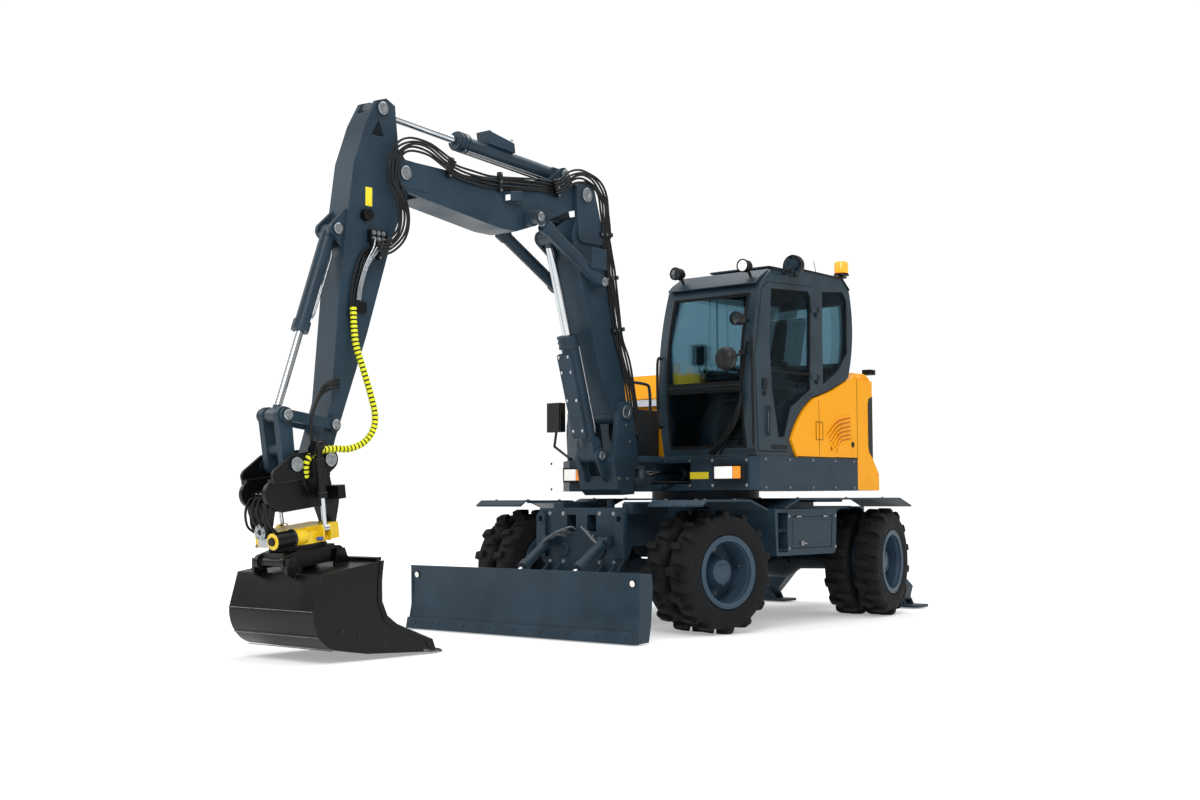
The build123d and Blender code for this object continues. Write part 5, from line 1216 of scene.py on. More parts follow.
    def reflectors(self) -> None:
        """Fix the round reflectors behind and bolt the stabilizers' box."""
        red = Shape()
        for side in SIDES:
            red.lathe([(0, 34), (6, 34), (9, 28), (9, 0)], (side * 350, 2285, 770), (0, 1, 0), 32)
        # The red finish's faint glow makes these reflectors glow: painted light, as they are no lamps
        red.add("rear_reflectors", RED_LENS, "chassis", crease=30)
        heads([((side * x, 2281, z), (0, 1, 0)) for side in SIDES for x in (120, 300) for z in (620, 860)],
            13, "stabilizer_box_bolts", "chassis")

    def build(self) -> None:
        """Build everything that the chassis carries."""
        self.boxes()
        self.mudguards()
        self.front_plate()
        self.steering()
        self.underside()
        self.reflectors()


@dataclass
class Blade:
    """The dozer blade's bolted cutting edge and its white reflectors."""

    foot_y: float = -2540.0
    half: float = 1240.0
    ground: float = 8.0

    def build(self) -> None:
        """Build the blade's trim."""
        edge = Shape().prism([(self.foot_y - 15, self.ground), (self.foot_y + 6, self.ground),
            (self.foot_y + 22, self.ground + 88), (self.foot_y + 17, self.ground + 92),
            (self.foot_y + 2, self.ground + 90), (self.foot_y - 13, self.ground + 14)], "x", -self.half + 2,
            self.half - 2)
        edge.add("cutting_edge", SLATE, "blade", bevel_mm=2)
        heads([((x, self.foot_y - 4, self.ground + 52), (0, -1, 0.15)) for x in range(-1140, 1141, 285)], 13,
            "edge_bolts", "blade", SLATE)
        disc, rim, facing = Shape(), Shape(), (0, -1, -0.1)
        for side in SIDES:
            spot = (side * 1168, self.foot_y + 50, 452)
            disc.lathe([(0, 25), (5, 25), (8, 21), (8, 0)], spot, facing, 36)
            rim.lathe([(0, 29), (6, 29), (7, 25.5), (0, 25.5)], spot, facing, 36, ring=True)
        disc.add("blade_reflectors", WHITE_LENS, "blade", crease=30)
        rim.add("reflector_rims", RUBBER, "blade", crease=30)


# Pins of the working arm: (y, z), half length, radius, body
PINS: tuple[tuple[float, float, float, float, str], ...] = (
    (-1400, 1807, 226, 58, "swing_post"), (-1607, 1440, 128, 38, "swing_post"),
    (-1866, 3588, 192, 56, "lower_boom"),
    (-2140, 3217, 106, 40, "lower_boom"), (-1758, 2866, 290, 34, "adjust_barrels"),
    (-2533, 3303, 290, 34, "adjust_rods"),
    (-3843, 3459, 160, 48, "upper_boom"), (-2040, 3741, 106, 38, "upper_boom"), (-4032, 3907, 118, 44, "arm"),
    (-4422, 2980, 100, 36, "arm"), (-4468, 1600, 150, 34, "guide_links"),
    (-4880, 1652, 150, 34, "guide_links"),
    (-4544, 1358, 190, 46, "tool_hitch"), (-4834, 1319, 190, 46, "tool_hitch"),
)


@dataclass
class PinEnds:
    """Bright pin ends, each with a keeper plate and its retaining bolts."""

    bodies: tuple[str, ...] = tuple(dict.fromkeys(pin[4] for pin in PINS))

    def build(self) -> None:
        """Build the pin ends of every body of the arm."""
        for body in self.bodies:
            shape, bolts = Shape(), []
            for y, z, half, radius, _ in (pin for pin in PINS if pin[4] == body):
                for side in SIDES:
                    shape.lathe([(-2, radius + 3), (4, radius + 3), (7, radius - 2), (7, radius * 0.45),
                        (4, radius * 0.4), (4, 0)], (side * half, y, z), (side, 0, 0), 36)
                    bolts += [((side * (half + 7), y + dy, z + dz), (side, 0, 0)) for dy,
                        dz in around(3, radius * 0.7, 0.5)]
            shape.add(f"pin_ends_{body}", ZINC, body, crease=28)
            heads(bolts, 7, f"pin_bolts_{body}", body)


# Hose runs: name, hoses, spacing, radius, x, (y, z) points, bodies that it starts and ends on
HOSE_RUNS: tuple[tuple, ...] = (
    ("lower_boom_hoses", 5, 25, 9.5, 174, (
        (-1268, 1610), (-1236, 1700), (-1248, 1839), (-1300, 2047), (-1366, 2239), (-1432, 2400),
        (-1472, 2610),
        (-1540, 2918), (-1560, 3047), (-1588, 3173), (-1628, 3300)), ("swing_post", "lower_boom"), (1, 4)),
    ("knee_hoses", 5, 25, 9.5, 184, (
        (-1612, 3260), (-1620, 3345), (-1628, 3456), (-1645, 3566), (-1701, 3656), (-1785, 3716),
        (-1925, 3742),
        (-2060, 3700), (-2160, 3628), (-2260, 3596)), ("lower_boom", "upper_boom"), (2, 7)),
    ("upper_boom_hoses", 5, 23, 9, 151, (
        (-2200, 3590), (-2396, 3590), (-2855, 3546), (-3075, 3536), (-3268, 3542), (-3420, 3574)),
     ("upper_boom", None), (0, 0)),
    ("arm_pivot_hoses", 5, 23, 9, 184, (
        (-3380, 3566), (-3497, 3610), (-3640, 3668), (-3790, 3676), (-3905, 3630), (-3984, 3530),
        (-3990, 3400),
        (-3920, 3270), (-3880, 3130), (-3910, 3000), (-4013, 2900), (-4126, 2862)), ("upper_boom", "arm"),
     (2, 9)),
    ("arm_face_hoses", 3, 26, 9, 120, (
        (-4126, 2862), (-4210, 2800), (-4262, 2660), (-4290, 2520), (-4310, 2362)), ("arm", None), (0, 0)),
)


@dataclass
class HoseRuns:
    """The hydraulic hoses over the arm, with their clamps, fittings and the yellow spiral wrap."""

    wrap_path: tuple[tuple[float, float, float], ...] = (
        (134, -4312, 2420), (138, -4308, 2300), (150, -4298, 2164), (180, -4268, 2023), (222, -4222, 1812),
        (238, -4196, 1673), (232, -4207, 1568), (222, -4280, 1480), (208, -4400, 1432), (198, -4520, 1430),
        (189, -4640, 1414), (186, -4700, 1392), (178, -4748, 1335), (160, -4740, 1240),
    )

    def runs(self) -> None:
        """Build each bundle; one that crosses a joint stays on no body."""
        for name, count, spacing, radius, x, points, (first, second), (start, end) in HOSE_RUNS:
            lanes = bundle([(x, y, z) for y, z in points], count, spacing, 7.0)
            made = tubes(lanes, radius, name, HOSE, None if second else first)
            if second:
                bend(made)

    def clamp(self, name: str, body: str, x: float, spot: tuple[float, float], way: tuple[float, float],
              half: float = 78.0) -> None:
        """Lay one clamp across a bundle.

        Args:
            name: The clamp's name.
            body: The body that it is bolted to.
            x: The bundle's middle.
            spot: The clamp's (y, z).
            way: The bundle's direction there.
            half: Half the clamp's length.
        """
        ahead = Vector((0, *way)).normalized()
        beside = ahead.cross(Vector((1, 0, 0)))
        corners = [(-half, -17), (half, -17), (half, 17), (-half, 17)]
        outline = [(spot[0] + a * beside.y + b * ahead.y, spot[1] + a * beside.z + b * ahead.z) for a,
            b in corners]
        Shape().prism(outline, "x", x - 20, x + 18).add(name, PLASTIC, body, bevel_mm=4)
        heads([((x + 18, spot[0] + a * beside.y, spot[1] + a * beside.z), (1, 0, 0))
            for a in (-half + 12, 0, half - 12)], 7, f"{name}_bolts", body)

    def clamps(self) -> None:
        """Lay all clamps."""
        for name, body, x, spot, way in (
            ("post", "swing_post", 182, (-1262, 1620), (0.3, 1)),
            ("boom_low", "lower_boom", 176, (-1460, 2500), (-0.2, 1)),
            ("boom_mid", "lower_boom", 176, (-1540, 2930), (-0.2, 1)),
            ("boom_top", "lower_boom", 180, (-1617, 3290), (-0.1, 1)),
            ("knee", "upper_boom", 170, (-2210, 3600), (-1, -0.1)),
            ("upper_mid", "upper_boom", 154, (-2860, 3546), (-1, 0)),
            ("upper_end", "upper_boom", 160, (-3400, 3570), (-1, 0.2)),
            ("arm", "arm", 152, (-4118, 2866), (-1, -0.4)),
        ):
            self.clamp(f"clamp_{name}", body, x, spot, way)

    def fittings(self) -> None:
        """Set the valve block, its couplings and the hard lines on the arm's left face."""
        block = Shape().block((104, -4165, 2915), (150, -4010, 3004))
        block.block((104, -4298, 2400), (128, -4180, 2480))
        block.bar((104, -4189, 3104), (158, -4189, 3104), 44, 32)
        block.add("arm_valve_block", BLACK_ENAMEL, "arm", bevel_mm=3)
        heads(lattice((1, 0, 0), [150], (-4140, -4095, -4050), (2938, 2982)), 13, "valve_nuts", "arm")
        pipes = [flowing([(164, -4140 + 45 * i, 2940), (172, -4160 + 30 * i, 2870),
            (160, -4225 + 14 * i, 2740), (140, -4262 + 14 * i, 2600), (132, -4275 + 14 * i, 2486)])
            for i in range(3)]
        tubes(pipes, 7.5, "arm_hard_lines", ZINC, "arm")

    def wrap(self) -> None:
        """Run the wrapped bundle from the arm round the tip pin to the tool head."""
        path = flowing(self.wrap_path, 8)
        rings = run_tree(wrap_tree(), lines_mesh([path]), {"Radius": 0.0195, "Thickness": 0.0065,
            "Spacing": 0.031, "Stretch": 1.75, "Finish": material_of(WRAP)})
        for made in (tubes([path], 20.5, "wrapped_hoses", HOSE, None, sides=14),
                     piece(rings, "yellow_spiral_wrap", WRAP, None, crease=50)):
            bend(made)

    def cylinder_lines(self) -> None:
        """Run the hard lines along the big cylinders."""
        for name, body, start, end, offsets in (
            ("boom_cylinder_lines", "boom_barrel", (-1662, 1623), (-1892, 2392), ((50, 60), (-50, 60))),
            ("arm_cylinder_lines", "arm_barrel", (-2160, 3751), (-3150, 3834), ((34, -62), (-34, -62))),
            ("bucket_cylinder_lines", "bucket_barrel", (-4470, 2840), (-4640, 2350), ((30, -58), (-30, -58))),
        ):
            ahead = Vector((0, end[0] - start[0], end[1] - start[1])).normalized()
            beside = ahead.cross(Vector((1, 0, 0)))
            paths = []
            for dx, out in offsets:
                low, high = Vector((dx, *start)), Vector((dx, *end))
                paths.append([low + beside * out * 0.8, low + beside * out + ahead * 40,
                    high + beside * out - ahead * 40, high + beside * out * 0.8])
            tubes(paths, 8, name, ZINC, body)

    def build(self) -> None:
        """Build all hoses and their fittings."""
        self.runs()
        self.clamps()
        self.fittings()
        self.wrap()
        self.cylinder_lines()


@dataclass
class CabTrim:
    """The cab's seals, lamps, mirrors, wiper, handles and visor."""

    inner_x: float = 215.0
    outer_x: float = 1180.0
    screen_edge: float = 95.0
    beacon_at: tuple[float, float] = (1130.0, 560.0)
    front: tuple[tuple[float, float], ...] = ((-880.0, 1430.3), (-945.0, 2250.0), (-800.0, 2880.0))
    door_window: tuple[tuple[float, float], ...] = (
        (-650, 1990), (-560, 1590), (-470, 1600), (-370, 1850), (-60, 2020), (-40, 2830), (-90, 2880),
        (-650, 2850),
        (-690, 2400))
    door_edge: tuple[tuple[float, float], ...] = (
        (-862, 1470), (-420, 1470), (-452, 1580), (-330, 1800), (-130, 1955), (-6, 2000), (40, 2860),
        (-20, 2930),
        (-700, 2900), (-790, 2830), (-900, 2250))
    quarter_window: tuple[tuple[float, float], ...] = (
        (150, 2075), (400, 2210), (560, 2380), (560, 2860), (500, 2930), (150, 2900))
    right_window: tuple[tuple[float, float], ...] = (
        (-760, 1700), (-120, 2040), (500, 2240), (540, 2860), (-660, 2860), (-820, 2400))

    def front_y(self, z: float) -> float:
        """Return the y of the bowed front at one height."""
        centre_y, centre_z, radius = circle_through(*self.front)
        return centre_y - math.copysign(math.sqrt(radius ** 2 - (z - centre_z) ** 2),
            centre_y - self.front[1][0])

    def on_front(self, x: float, z: float, out: float) -> tuple[float, float, float]:
        """Return a point that stands out from the bowed front by a distance."""
        return x, self.front_y(z) - out, z

    def screen_path(self, low: float, high: float, inset: float,
                    out: float) -> list[tuple[float, float, float]]:
        """Return a closed path round one windscreen pane.

        Args:
            low: The pane's lower edge.
            high: Its upper edge.
            inset: How far inside the pane the path runs.
            out: How far in front of the glass it runs.

        Returns:
            The path's points in millimetres.
        """
        left, right = self.inner_x + self.screen_edge + inset, self.outer_x - self.screen_edge - inset
        levels = [low + inset + (high - low - 2 * inset) * i / 12 for i in range(13)]
        return ([self.on_front(left, z, out) for z in levels] + [self.on_front(right, z, out)
            for z in reversed(levels)])

    def seals(self) -> None:
        """Run black rubber seals round every pane and the door."""
        paths = [self.screen_path(low, high, -3, 2) for low, high in ((2040, 2790), (1510, 1985))]
        tubes(paths, 7, "screen_seals", RUBBER, closed=True)
        border = Shape()
        for low, high in ((2040, 2790), (1510, 1985)):
            outer, inner = self.screen_path(low, high, 2, 1.5), self.screen_path(low, high, 17, 1.5)
            rows = [[border.work.verts.new(p) for p in path] for path in (outer, inner)]
            for i in range(len(outer)):
                j = (i + 1) % len(outer)
                border.work.faces.new((rows[0][i], rows[0][j], rows[1][j], rows[1][i]))
        border.add("screen_print_border", RUBBER)
        tubes([[(self.outer_x - 11, y, z) for y, z in self.quarter_window],
            [(self.inner_x + 10, y, z) for y, z in self.right_window]], 9, "side_seals", RUBBER, closed=True)
        tubes([[(self.outer_x - 11, y, z) for y, z in self.door_window]], 9, "door_pane_seal", RUBBER,
            "cab_door", closed=True)
        tubes([[(self.outer_x - 8, y, z) for y, z in self.door_edge]], 5, "door_seal", RUBBER, closed=True)
        rear = [(310, 622, 2270), (1085, 622, 2270), (1085, 622, 2830), (310, 622, 2830)]
        tubes([rear], 9, "rear_seal", RUBBER, closed=True)

    def frame_strips(self) -> None:
        """Add the screen's middle rail, the visor, the roof hatch and the roof gutters."""
        y = self.front_y(2012) - 8
        rail = Shape().prism([(y, 1998), (y - 6, 2002), (y - 6, 2020), (y, 2024)], "x", 306, 1089)
        rail.add("screen_rail", RUBBER, bevel_mm=2)
        visor = Shape().prism([(-800, 2888), (-846, 2872), (-850, 2880), (-790, 2932), (-640, 3018),
            (-640, 3010)], "x", 240, 1156)
        visor.add("roof_visor", CAB_PAINT, bevel_mm=3)
        Shape().block((380, -430, 3064), (1020, 300, 3084)).add("roof_hatch", CAB_PAINT, bevel_mm=9)
        gutter = [(1184, -640, 3006), (1184, -200, 3060), (1184, 480, 3050), (1184, 600, 2958)]
        tubes([gutter, [(211, y, z) for _, y, z in gutter]], 8, "roof_gutters", RUBBER)

    def lamps(self) -> None:
        """Add lenses, bezels and the beacon's dome to the lamp housings."""
        clear, amber, bezel, shade = Shape(), Shape(), Shape(), Shape()
        clear.block((834, -1003, 1246), (1014, -993, 1346))
        clear.block((-844, -1003, 1246), (-706, -993, 1346))
        amber.block((1022, -1003, 1246), (1098, -993, 1346))
        amber.block((-698, -1003, 1246), (-642, -993, 1346))
        for low, high in ((822, 1108), (-858, -632)):
            bezel.block((low, -1001, 1231), (high, -990, 1242)).block((low, -1001, 1350), (high, -990, 1361))
            bezel.block((low, -1001, 1231), (low + 9, -990, 1361)).block((high - 9, -1001, 1231),
                (high, -990, 1361))
        dark = Shape()
        for x, y, z in ((330, -860, 3030), (1040, -860, 3030), (1120, -1080, 2560)):
            lens = clear if x == 1040 else dark
            lens.lathe([(-6, 46), (4, 46), (9, 36), (11, 0)], (x, y, z), (0, -1, 0), 32)
            shade.lathe([(-10, 57), (8, 57), (8, 51), (-10, 52)], (x, y, z), (0, -1, 0), 32, ring=True)
            shade.lathe([(0, 50), (14, 46), (40, 30), (46, 0)], (x, y + 68, z), (0, 1, 0), 32)
        clear.add("lamp_lenses", CLEAR_LENS, bevel_mm=2, crease=30)
        dark.add("unlit_lenses", DARK_LENS, crease=30)
        amber.add("turn_lenses", AMBER_LENS, bevel_mm=3)
        bezel.add("lamp_bezels", PLASTIC, bevel_mm=2)
        shade.add("lamp_shells", PLASTIC, crease=30)
        dome = Shape().lathe([(0, 56), (8, 63.5), (92, 63.5), (106, 58), (114, 38), (117, 0)],
            (*self.beacon_at, 3106), (0, 0, 1), 40)
        for level in range(7):
            dome.lathe([(0, 63), (3, 65.5), (6, 63)], (*self.beacon_at, 3120 + 11 * level), (0, 0, 1), 40)
        dome.add("beacon_dome", AMBER_GLOW, crease=26)
        foot = Shape().lathe([(0, 70), (10, 70), (16, 66), (18, 60)], (*self.beacon_at, 3088), (0, 0, 1), 40)
        foot.block((1096, 520, 3066), (1164, 600, 3080))
        foot.add("beacon_foot", PLASTIC, bevel_mm=2, crease=30)

    def mirrors(self) -> None:
        """Add domed shells and silvered glasses to the mirrors."""
        shell, glass = Shape(), Shape()
        for x, y, z, back in ((1140, -1240, 2215, -1), (1290, -470, 3045, 1)):
            shell.lathe([(0, 94), (16, 92), (34, 78), (46, 52), (52, 24), (53, 0)], (x, y + back * 15, z),
                (0, back, 0), 40)
            for rib in (86, 68, 50, 32):
                shell.lathe([(20, rib + 3), (58 - 0.4 * rib, rib + 3), (58 - 0.4 * rib, rib - 3),
                    (20, rib - 3)], (x, y + back * 15, z), (0, back, 0), 40, ring=True)
            shell.lathe([(-1, 95), (4, 95), (4, 86), (-1, 86)], (x, y - back * 16, z), (0, -back, 0), 40,
                ring=True)
            glass.lathe([(0, 86), (2, 86), (5, 0)], (x, y - back * 17, z), (0, -back, 0), 40)
        shell.block((-1162, -886, 1694), (-988, -872, 1966)).block((-1150, -894, 1706), (-1000, -882, 1954))
        glass.block((-1152, -822, 1704), (-998, -817, 1956))
        for spot in ((1138, -1190, 2222), (1132, -1010, 2284)):
            shell.bar((spot[0], spot[1] - 22, spot[2]), (spot[0], spot[1] + 22, spot[2]), 20, 20)
        shell.add("mirror_shells", MIRROR_SHELL, bevel_mm=4, crease=30)
        glass.add("mirror_glasses", MIRROR_GLASS, crease=30)

    def wiper(self) -> None:
        """Park the wiper over the lower left of the screen, with its washer line."""
        base, elbow = self.on_front(735, 1470, 14), self.on_front(1000, 1700, 42)
        tip = self.on_front(1112, 1930, 34)
        tubes([[base, elbow, tip], [(base[0] + 26, base[1] - 4, 1462), (elbow[0] + 22, elbow[1], 1688), tip]],
            9, "wiper_arm", PLASTIC, sides=12)
        sections = []
        for i in range(12):
            z = 1760 + 620 * i / 11
            x, y = 1068 + 78 * i / 11, self.front_y(z)
            sections.append([(x - 12, y - 30, z), (x + 12, y - 30, z), (x + 3, y - 7, z), (x - 3, y - 7, z)])
        blade = Shape().loft(sections).lathe([(-10, 30), (8, 30), (14, 24), (14, 0)],
            (base[0], base[1] + 12, base[2]), (0, -1, 0), 28)
        blade.add("wiper_blade", RUBBER, bevel_mm=1, crease=30)
        hose = [self.on_front(*spot) for spot in ((800, 1440, 6), (930, 1580, 30), (1060, 1740, 44),
            (1120, 1960, 30))]
        tubes([flowing(hose)], 6, "washer_line", HOSE)

    def handles(self) -> None:
        """Add the grab rails, the antenna, the door's pull, lock, divider and hinges, and the front step."""
        rails = [flowing([self.on_front(*spot) for spot in spots], 5)
            for spots in (((1168, 1560, -6), (1196, 1600, 26), (1196, 2380, 30), (1168, 2420, -4)),
            ((236, 1700, -4), (232, 1740, 44), (232, 2240, 48), (236, 2290, -2)))]
        tubes(rails, 12, "grab_rails", PLASTIC, sides=14)
        tubes([[(1010, 330, 3062), (1002, 330, 3130), (984, 330, 3215)]], 3, "antenna", PLASTIC, sides=8)
        foot = Shape().lathe([(0, 22), (14, 20), (34, 9), (40, 5), (40, 0)], (1010, 330, 3060), (0, 0, 1), 24)
        foot.add("antenna_foot", PLASTIC, crease=30)
        lock = Shape().block((1182, -795, 1985), (1196, -735, 2080)).lathe([(0, 22), (10, 21), (14, 16),
            (14, 0)], (1184, -765, 1955), (1, 0, 0), 28)
        lock.prism([(-668, 1490), (-430, 1490), (-436, 1530), (-668, 1530)], "x", 1183, 1188)
        pull = Shape().block((1183, -724, 1625), (1196, -700, 1800))
        pull.add("door_handle_silver", ZINC, "cab_door", bevel_mm=4)
        divider = Shape().block((1172, -672, 2146), (1183, -60, 2160))
        divider.add("door_pane_divider", RUBBER, "cab_door", bevel_mm=2)
        lock.add("door_lock", PLASTIC, "cab_door", bevel_mm=3, crease=30)
        hinge = Shape()
        for level in (2110, 2700):
            hinge.bar((1196, 47, level + 1), (1196, 47, level + 44), 15, 24)
        hinge.add("door_hinge_caps", PLASTIC, "cab_door", bevel_mm=2, crease=30)
        Shape().block((236, -1016, 1432), (1156, -962, 1440)).add("front_step_plate", SLATE, bevel_mm=3)
        heads(lattice((0, -1, 0), (260, 520, 760, 1110), [-925], (1190, 1400)), 10, "nose_bolts", "upper")

    def build(self) -> None:
        """Build the cab's whole trim."""
        self.seals()
        self.frame_strips()
        self.lamps()
        self.mirrors()
        self.wiper()
        self.handles()


@dataclass
class Interior:
    """The operator's place: sprung seat with stuffed cushions, consoles, levers, wheel and display."""

    middle_x: float = 697.5
    floor_z: float = 1476.0
    swell_mm: float = 14.0

    def cushion(self, outline: Sequence[tuple[float, float]], half: float, name: str) -> None:
        """Stuff one cushion by cloth pressure from its cut outline.

        Args:
            outline: The cushion's side outline in (y, z).
            half: Half its width.
            name: Its name.
        """
        mesh = Shape().prism(outline, "x", self.middle_x - half, self.middle_x + half).mesh()
        made = piece(mesh, name, SEAT_CLOTH, "upper", crease=80)
        soften = made.modifiers.new("soften", "BEVEL")
        soften.width = 22 * MM
        soften.segments = 4
        remesh = made.modifiers.new("remesh", "REMESH")
        remesh.mode = "VOXEL"
        remesh.voxel_size = 12 * MM
        graph = bpy.context.evaluated_depsgraph_get()
        start = bpy.data.meshes.new_from_object(made.evaluated_get(graph), depsgraph=graph)
        dummy = bpy.data.objects.new("stuffing", start)
        bpy.context.scene.collection.objects.link(dummy)
        cloth = dummy.modifiers.new("cloth", "CLOTH")
        cloth.settings.use_pressure = True
        cloth.settings.uniform_pressure_force = 4.0
        cloth.settings.tension_stiffness = 20
        cloth.settings.effector_weights.gravity = 0.0
        cloth.point_cache.frame_start = 1
        cloth.point_cache.frame_end = 20
        for frame in range(1, 21):
            bpy.context.scene.frame_set(frame)
        graph = bpy.context.evaluated_depsgraph_get()
        blown = bpy.data.meshes.new_from_object(dummy.evaluated_get(graph), depsgraph=graph)
        for vertex, first in zip(blown.vertices, start.vertices):
            step = vertex.co - first.co
            if step.length > self.swell_mm * MM:
                vertex.co = first.co + step.normalized() * self.swell_mm * MM
        bpy.context.scene.frame_set(1)
        bpy.data.objects.remove(dummy)
        made.modifiers.clear()
        blown.materials.clear()
        blown.materials.append(material_of(SEAT_CLOTH))
        made.data = blown
        blown.shade_smooth()
        made.modifiers.new("smooth", "SUBSURF").levels = 1

    def seat(self) -> None:
        """Build the seat's pedestal, bellows, shell and cushions."""
        mid, floor = self.middle_x, self.floor_z
        base = Shape().block((mid - 190, -500, floor + 9), (mid + 190, -40, floor + 52))
        base.block((mid - 210, -560, 1930), (mid + 210, 60, 1964))
        made = base.add("seat_pedestal", PLASTIC, bevel_mm=8)
        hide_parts("cab_interior")
        folds = Shape()
        for level in range(9):
            inset = 14 if level % 2 else 0
            folds.block((mid - 176 + inset, -480 + inset, floor + 52 + 45 * level),
                (mid + 176 - inset, -60 - inset, floor + 97 + 45 * level))
        folds.add("seat_bellows", RUBBER, bevel_mm=10)
        self.cushion([(-560, 1966), (-500, 2068), (-120, 2086), (70, 2060), (70, 1966)], 235,
            "seat_base_cushion")
        self.cushion([(20, 2080), (160, 2074), (292, 2640), (270, 2690), (176, 2680), (20, 2200)], 225,
            "seat_back_cushion")
        self.cushion([(190, 2706), (300, 2706), (332, 2850), (322, 2872), (232, 2872), (204, 2850)], 130,
            "headrest_cushion")
        shell = Shape().prism([(120, 2040), (168, 2040), (318, 2650), (300, 2700), (270, 2700)], "x",
            mid - 205, mid + 205)
        shell.bar((mid - 60, 288, 2660), (mid - 60, 300, 2740), 9).bar((mid + 60, 288, 2660),
            (mid + 60, 300, 2740), 9)
        shell.add("seat_shell", PLASTIC, bevel_mm=8, crease=30)

    def consoles(self) -> None:
        """Build both consoles with their armrests, levers, switches and the display."""
        mid = self.middle_x
        levers = []
        for side, label in NAMED_SIDES:
            inner, outer = sorted((mid + side * 245, mid + side * 335))
            body = Shape().prism([(-560, 2100), (-575, 2150), (-540, 2196), (-120, 2206), (-60, 2120),
                (-180, 1990), (-360, 1980)], "x", inner, outer)
            body.prism([(-330, 2236), (-300, 2272), (-20, 2280), (0, 2240)], "x", inner + 8, outer - 8)
            body.add(f"console_{label}", PLASTIC, bevel_mm=10)
            x = mid + side * 290
            grip = Shape().lathe([(0, 34), (8, 36), (22, 22), (30, 12), (80, 10), (86, 20), (120, 25),
                (160, 24), (184, 19), (192, 0)], (x, -520, 2190), (0, -0.12, 1), 24)
            levers.append(grip.mesh())
            heads(lattice((0, 0, 1), (x - 22, x, x + 22), (-440, -380, -320, -260), [2203]), 8,
                f"console_keys_{label}", "upper", SCREEN)
        piece(joined(levers), "joysticks", PLASTIC, crease=40)
        Shape().block((mid - 360, -640, 2240), (mid - 200, -622, 2420)).add("display_case", PLASTIC,
            bevel_mm=6)
        Shape().block((mid - 350, -621, 2252), (mid - 210, -619, 2408)).add("display_glass", SCREEN,
            bevel_mm=1)
        tubes([[(mid - 300, -560, 2160), (mid - 300, -612, 2200), (mid - 290, -632, 2290)]], 12,
            "display_stay", PLASTIC)

    def steering(self) -> None:
        """Build the steering column, its wheel, the pedals and the floor mat."""
        mid, floor = self.middle_x, self.floor_z
        centre = Vector((mid, -684, 2140))
        tilt = Matrix.Rotation(math.radians(18), 3, "X")
        ring = [centre + tilt @ Vector((*spot, 0)) for spot in around(48, 165)]
        tubes([ring], 14, "steering_wheel_rim", PLASTIC, sides=14, closed=True)
        spokes = [[centre + tilt @ Vector((150 * math.cos(a), 150 * math.sin(a), -2)),
            centre + tilt @ Vector((0, 0, -14))] for a in (0.3, math.pi - 0.3, -math.pi / 2)]
        tubes(spokes, 11, "steering_wheel_spokes", PLASTIC, sides=12)
        column = Shape().bar((mid, -800, floor + 10), (mid, -706, 2060), 40, 28, 30)
        column.lathe([(-40, 34), (0, 44), (16, 40), (22, 0)], centre, tilt @ Vector((0, 0, 1)), 28)
        column.add("steering_column", PLASTIC, crease=30)
        pedals = Shape()
        for x in (mid - 150, mid - 60, mid + 70, mid + 150):
            pedals.prism([(-770, floor + 40), (-690, floor + 96), (-684, floor + 84), (-764, floor + 28)],
                "x", x - 32, x + 32)
            pedals.block((x - 12, -768, floor + 9), (x + 12, -740, floor + 50))
        pedals.add("pedals", PLASTIC, bevel_mm=3)
        mat = Shape().block((mid - 420, -810, floor + 1), (mid + 420, -20, floor + 10))
        mat.add("floor_mat", FLOOR_MAT, bevel_mm=3)
        rear = Shape().prism([(380, 2090), (560, 2180), (590, 2290), (470, 2290), (380, 2240)], "x",
            mid - 420, mid + 420)
        rear.add("rear_shelf", PLASTIC, bevel_mm=8)
        trim = Shape().prism([(-800, 1490), (-828, 2060), (-300, 2092), (500, 2290), (500, 1490)], "x", 262,
            268)
        trim.block((262, -172, 2150), (270, -150, 2890))
        trim.add("right_wall_trim", PLASTIC, bevel_mm=2)
        Shape().bar((mid - 380, -742, 2850), (mid + 380, -742, 2850), 20).add("blind_roll", PLASTIC,
            crease=30)

    def build(self) -> None:
        """Build the whole operator's place."""
        self.seat()
        self.consoles()
        self.steering()


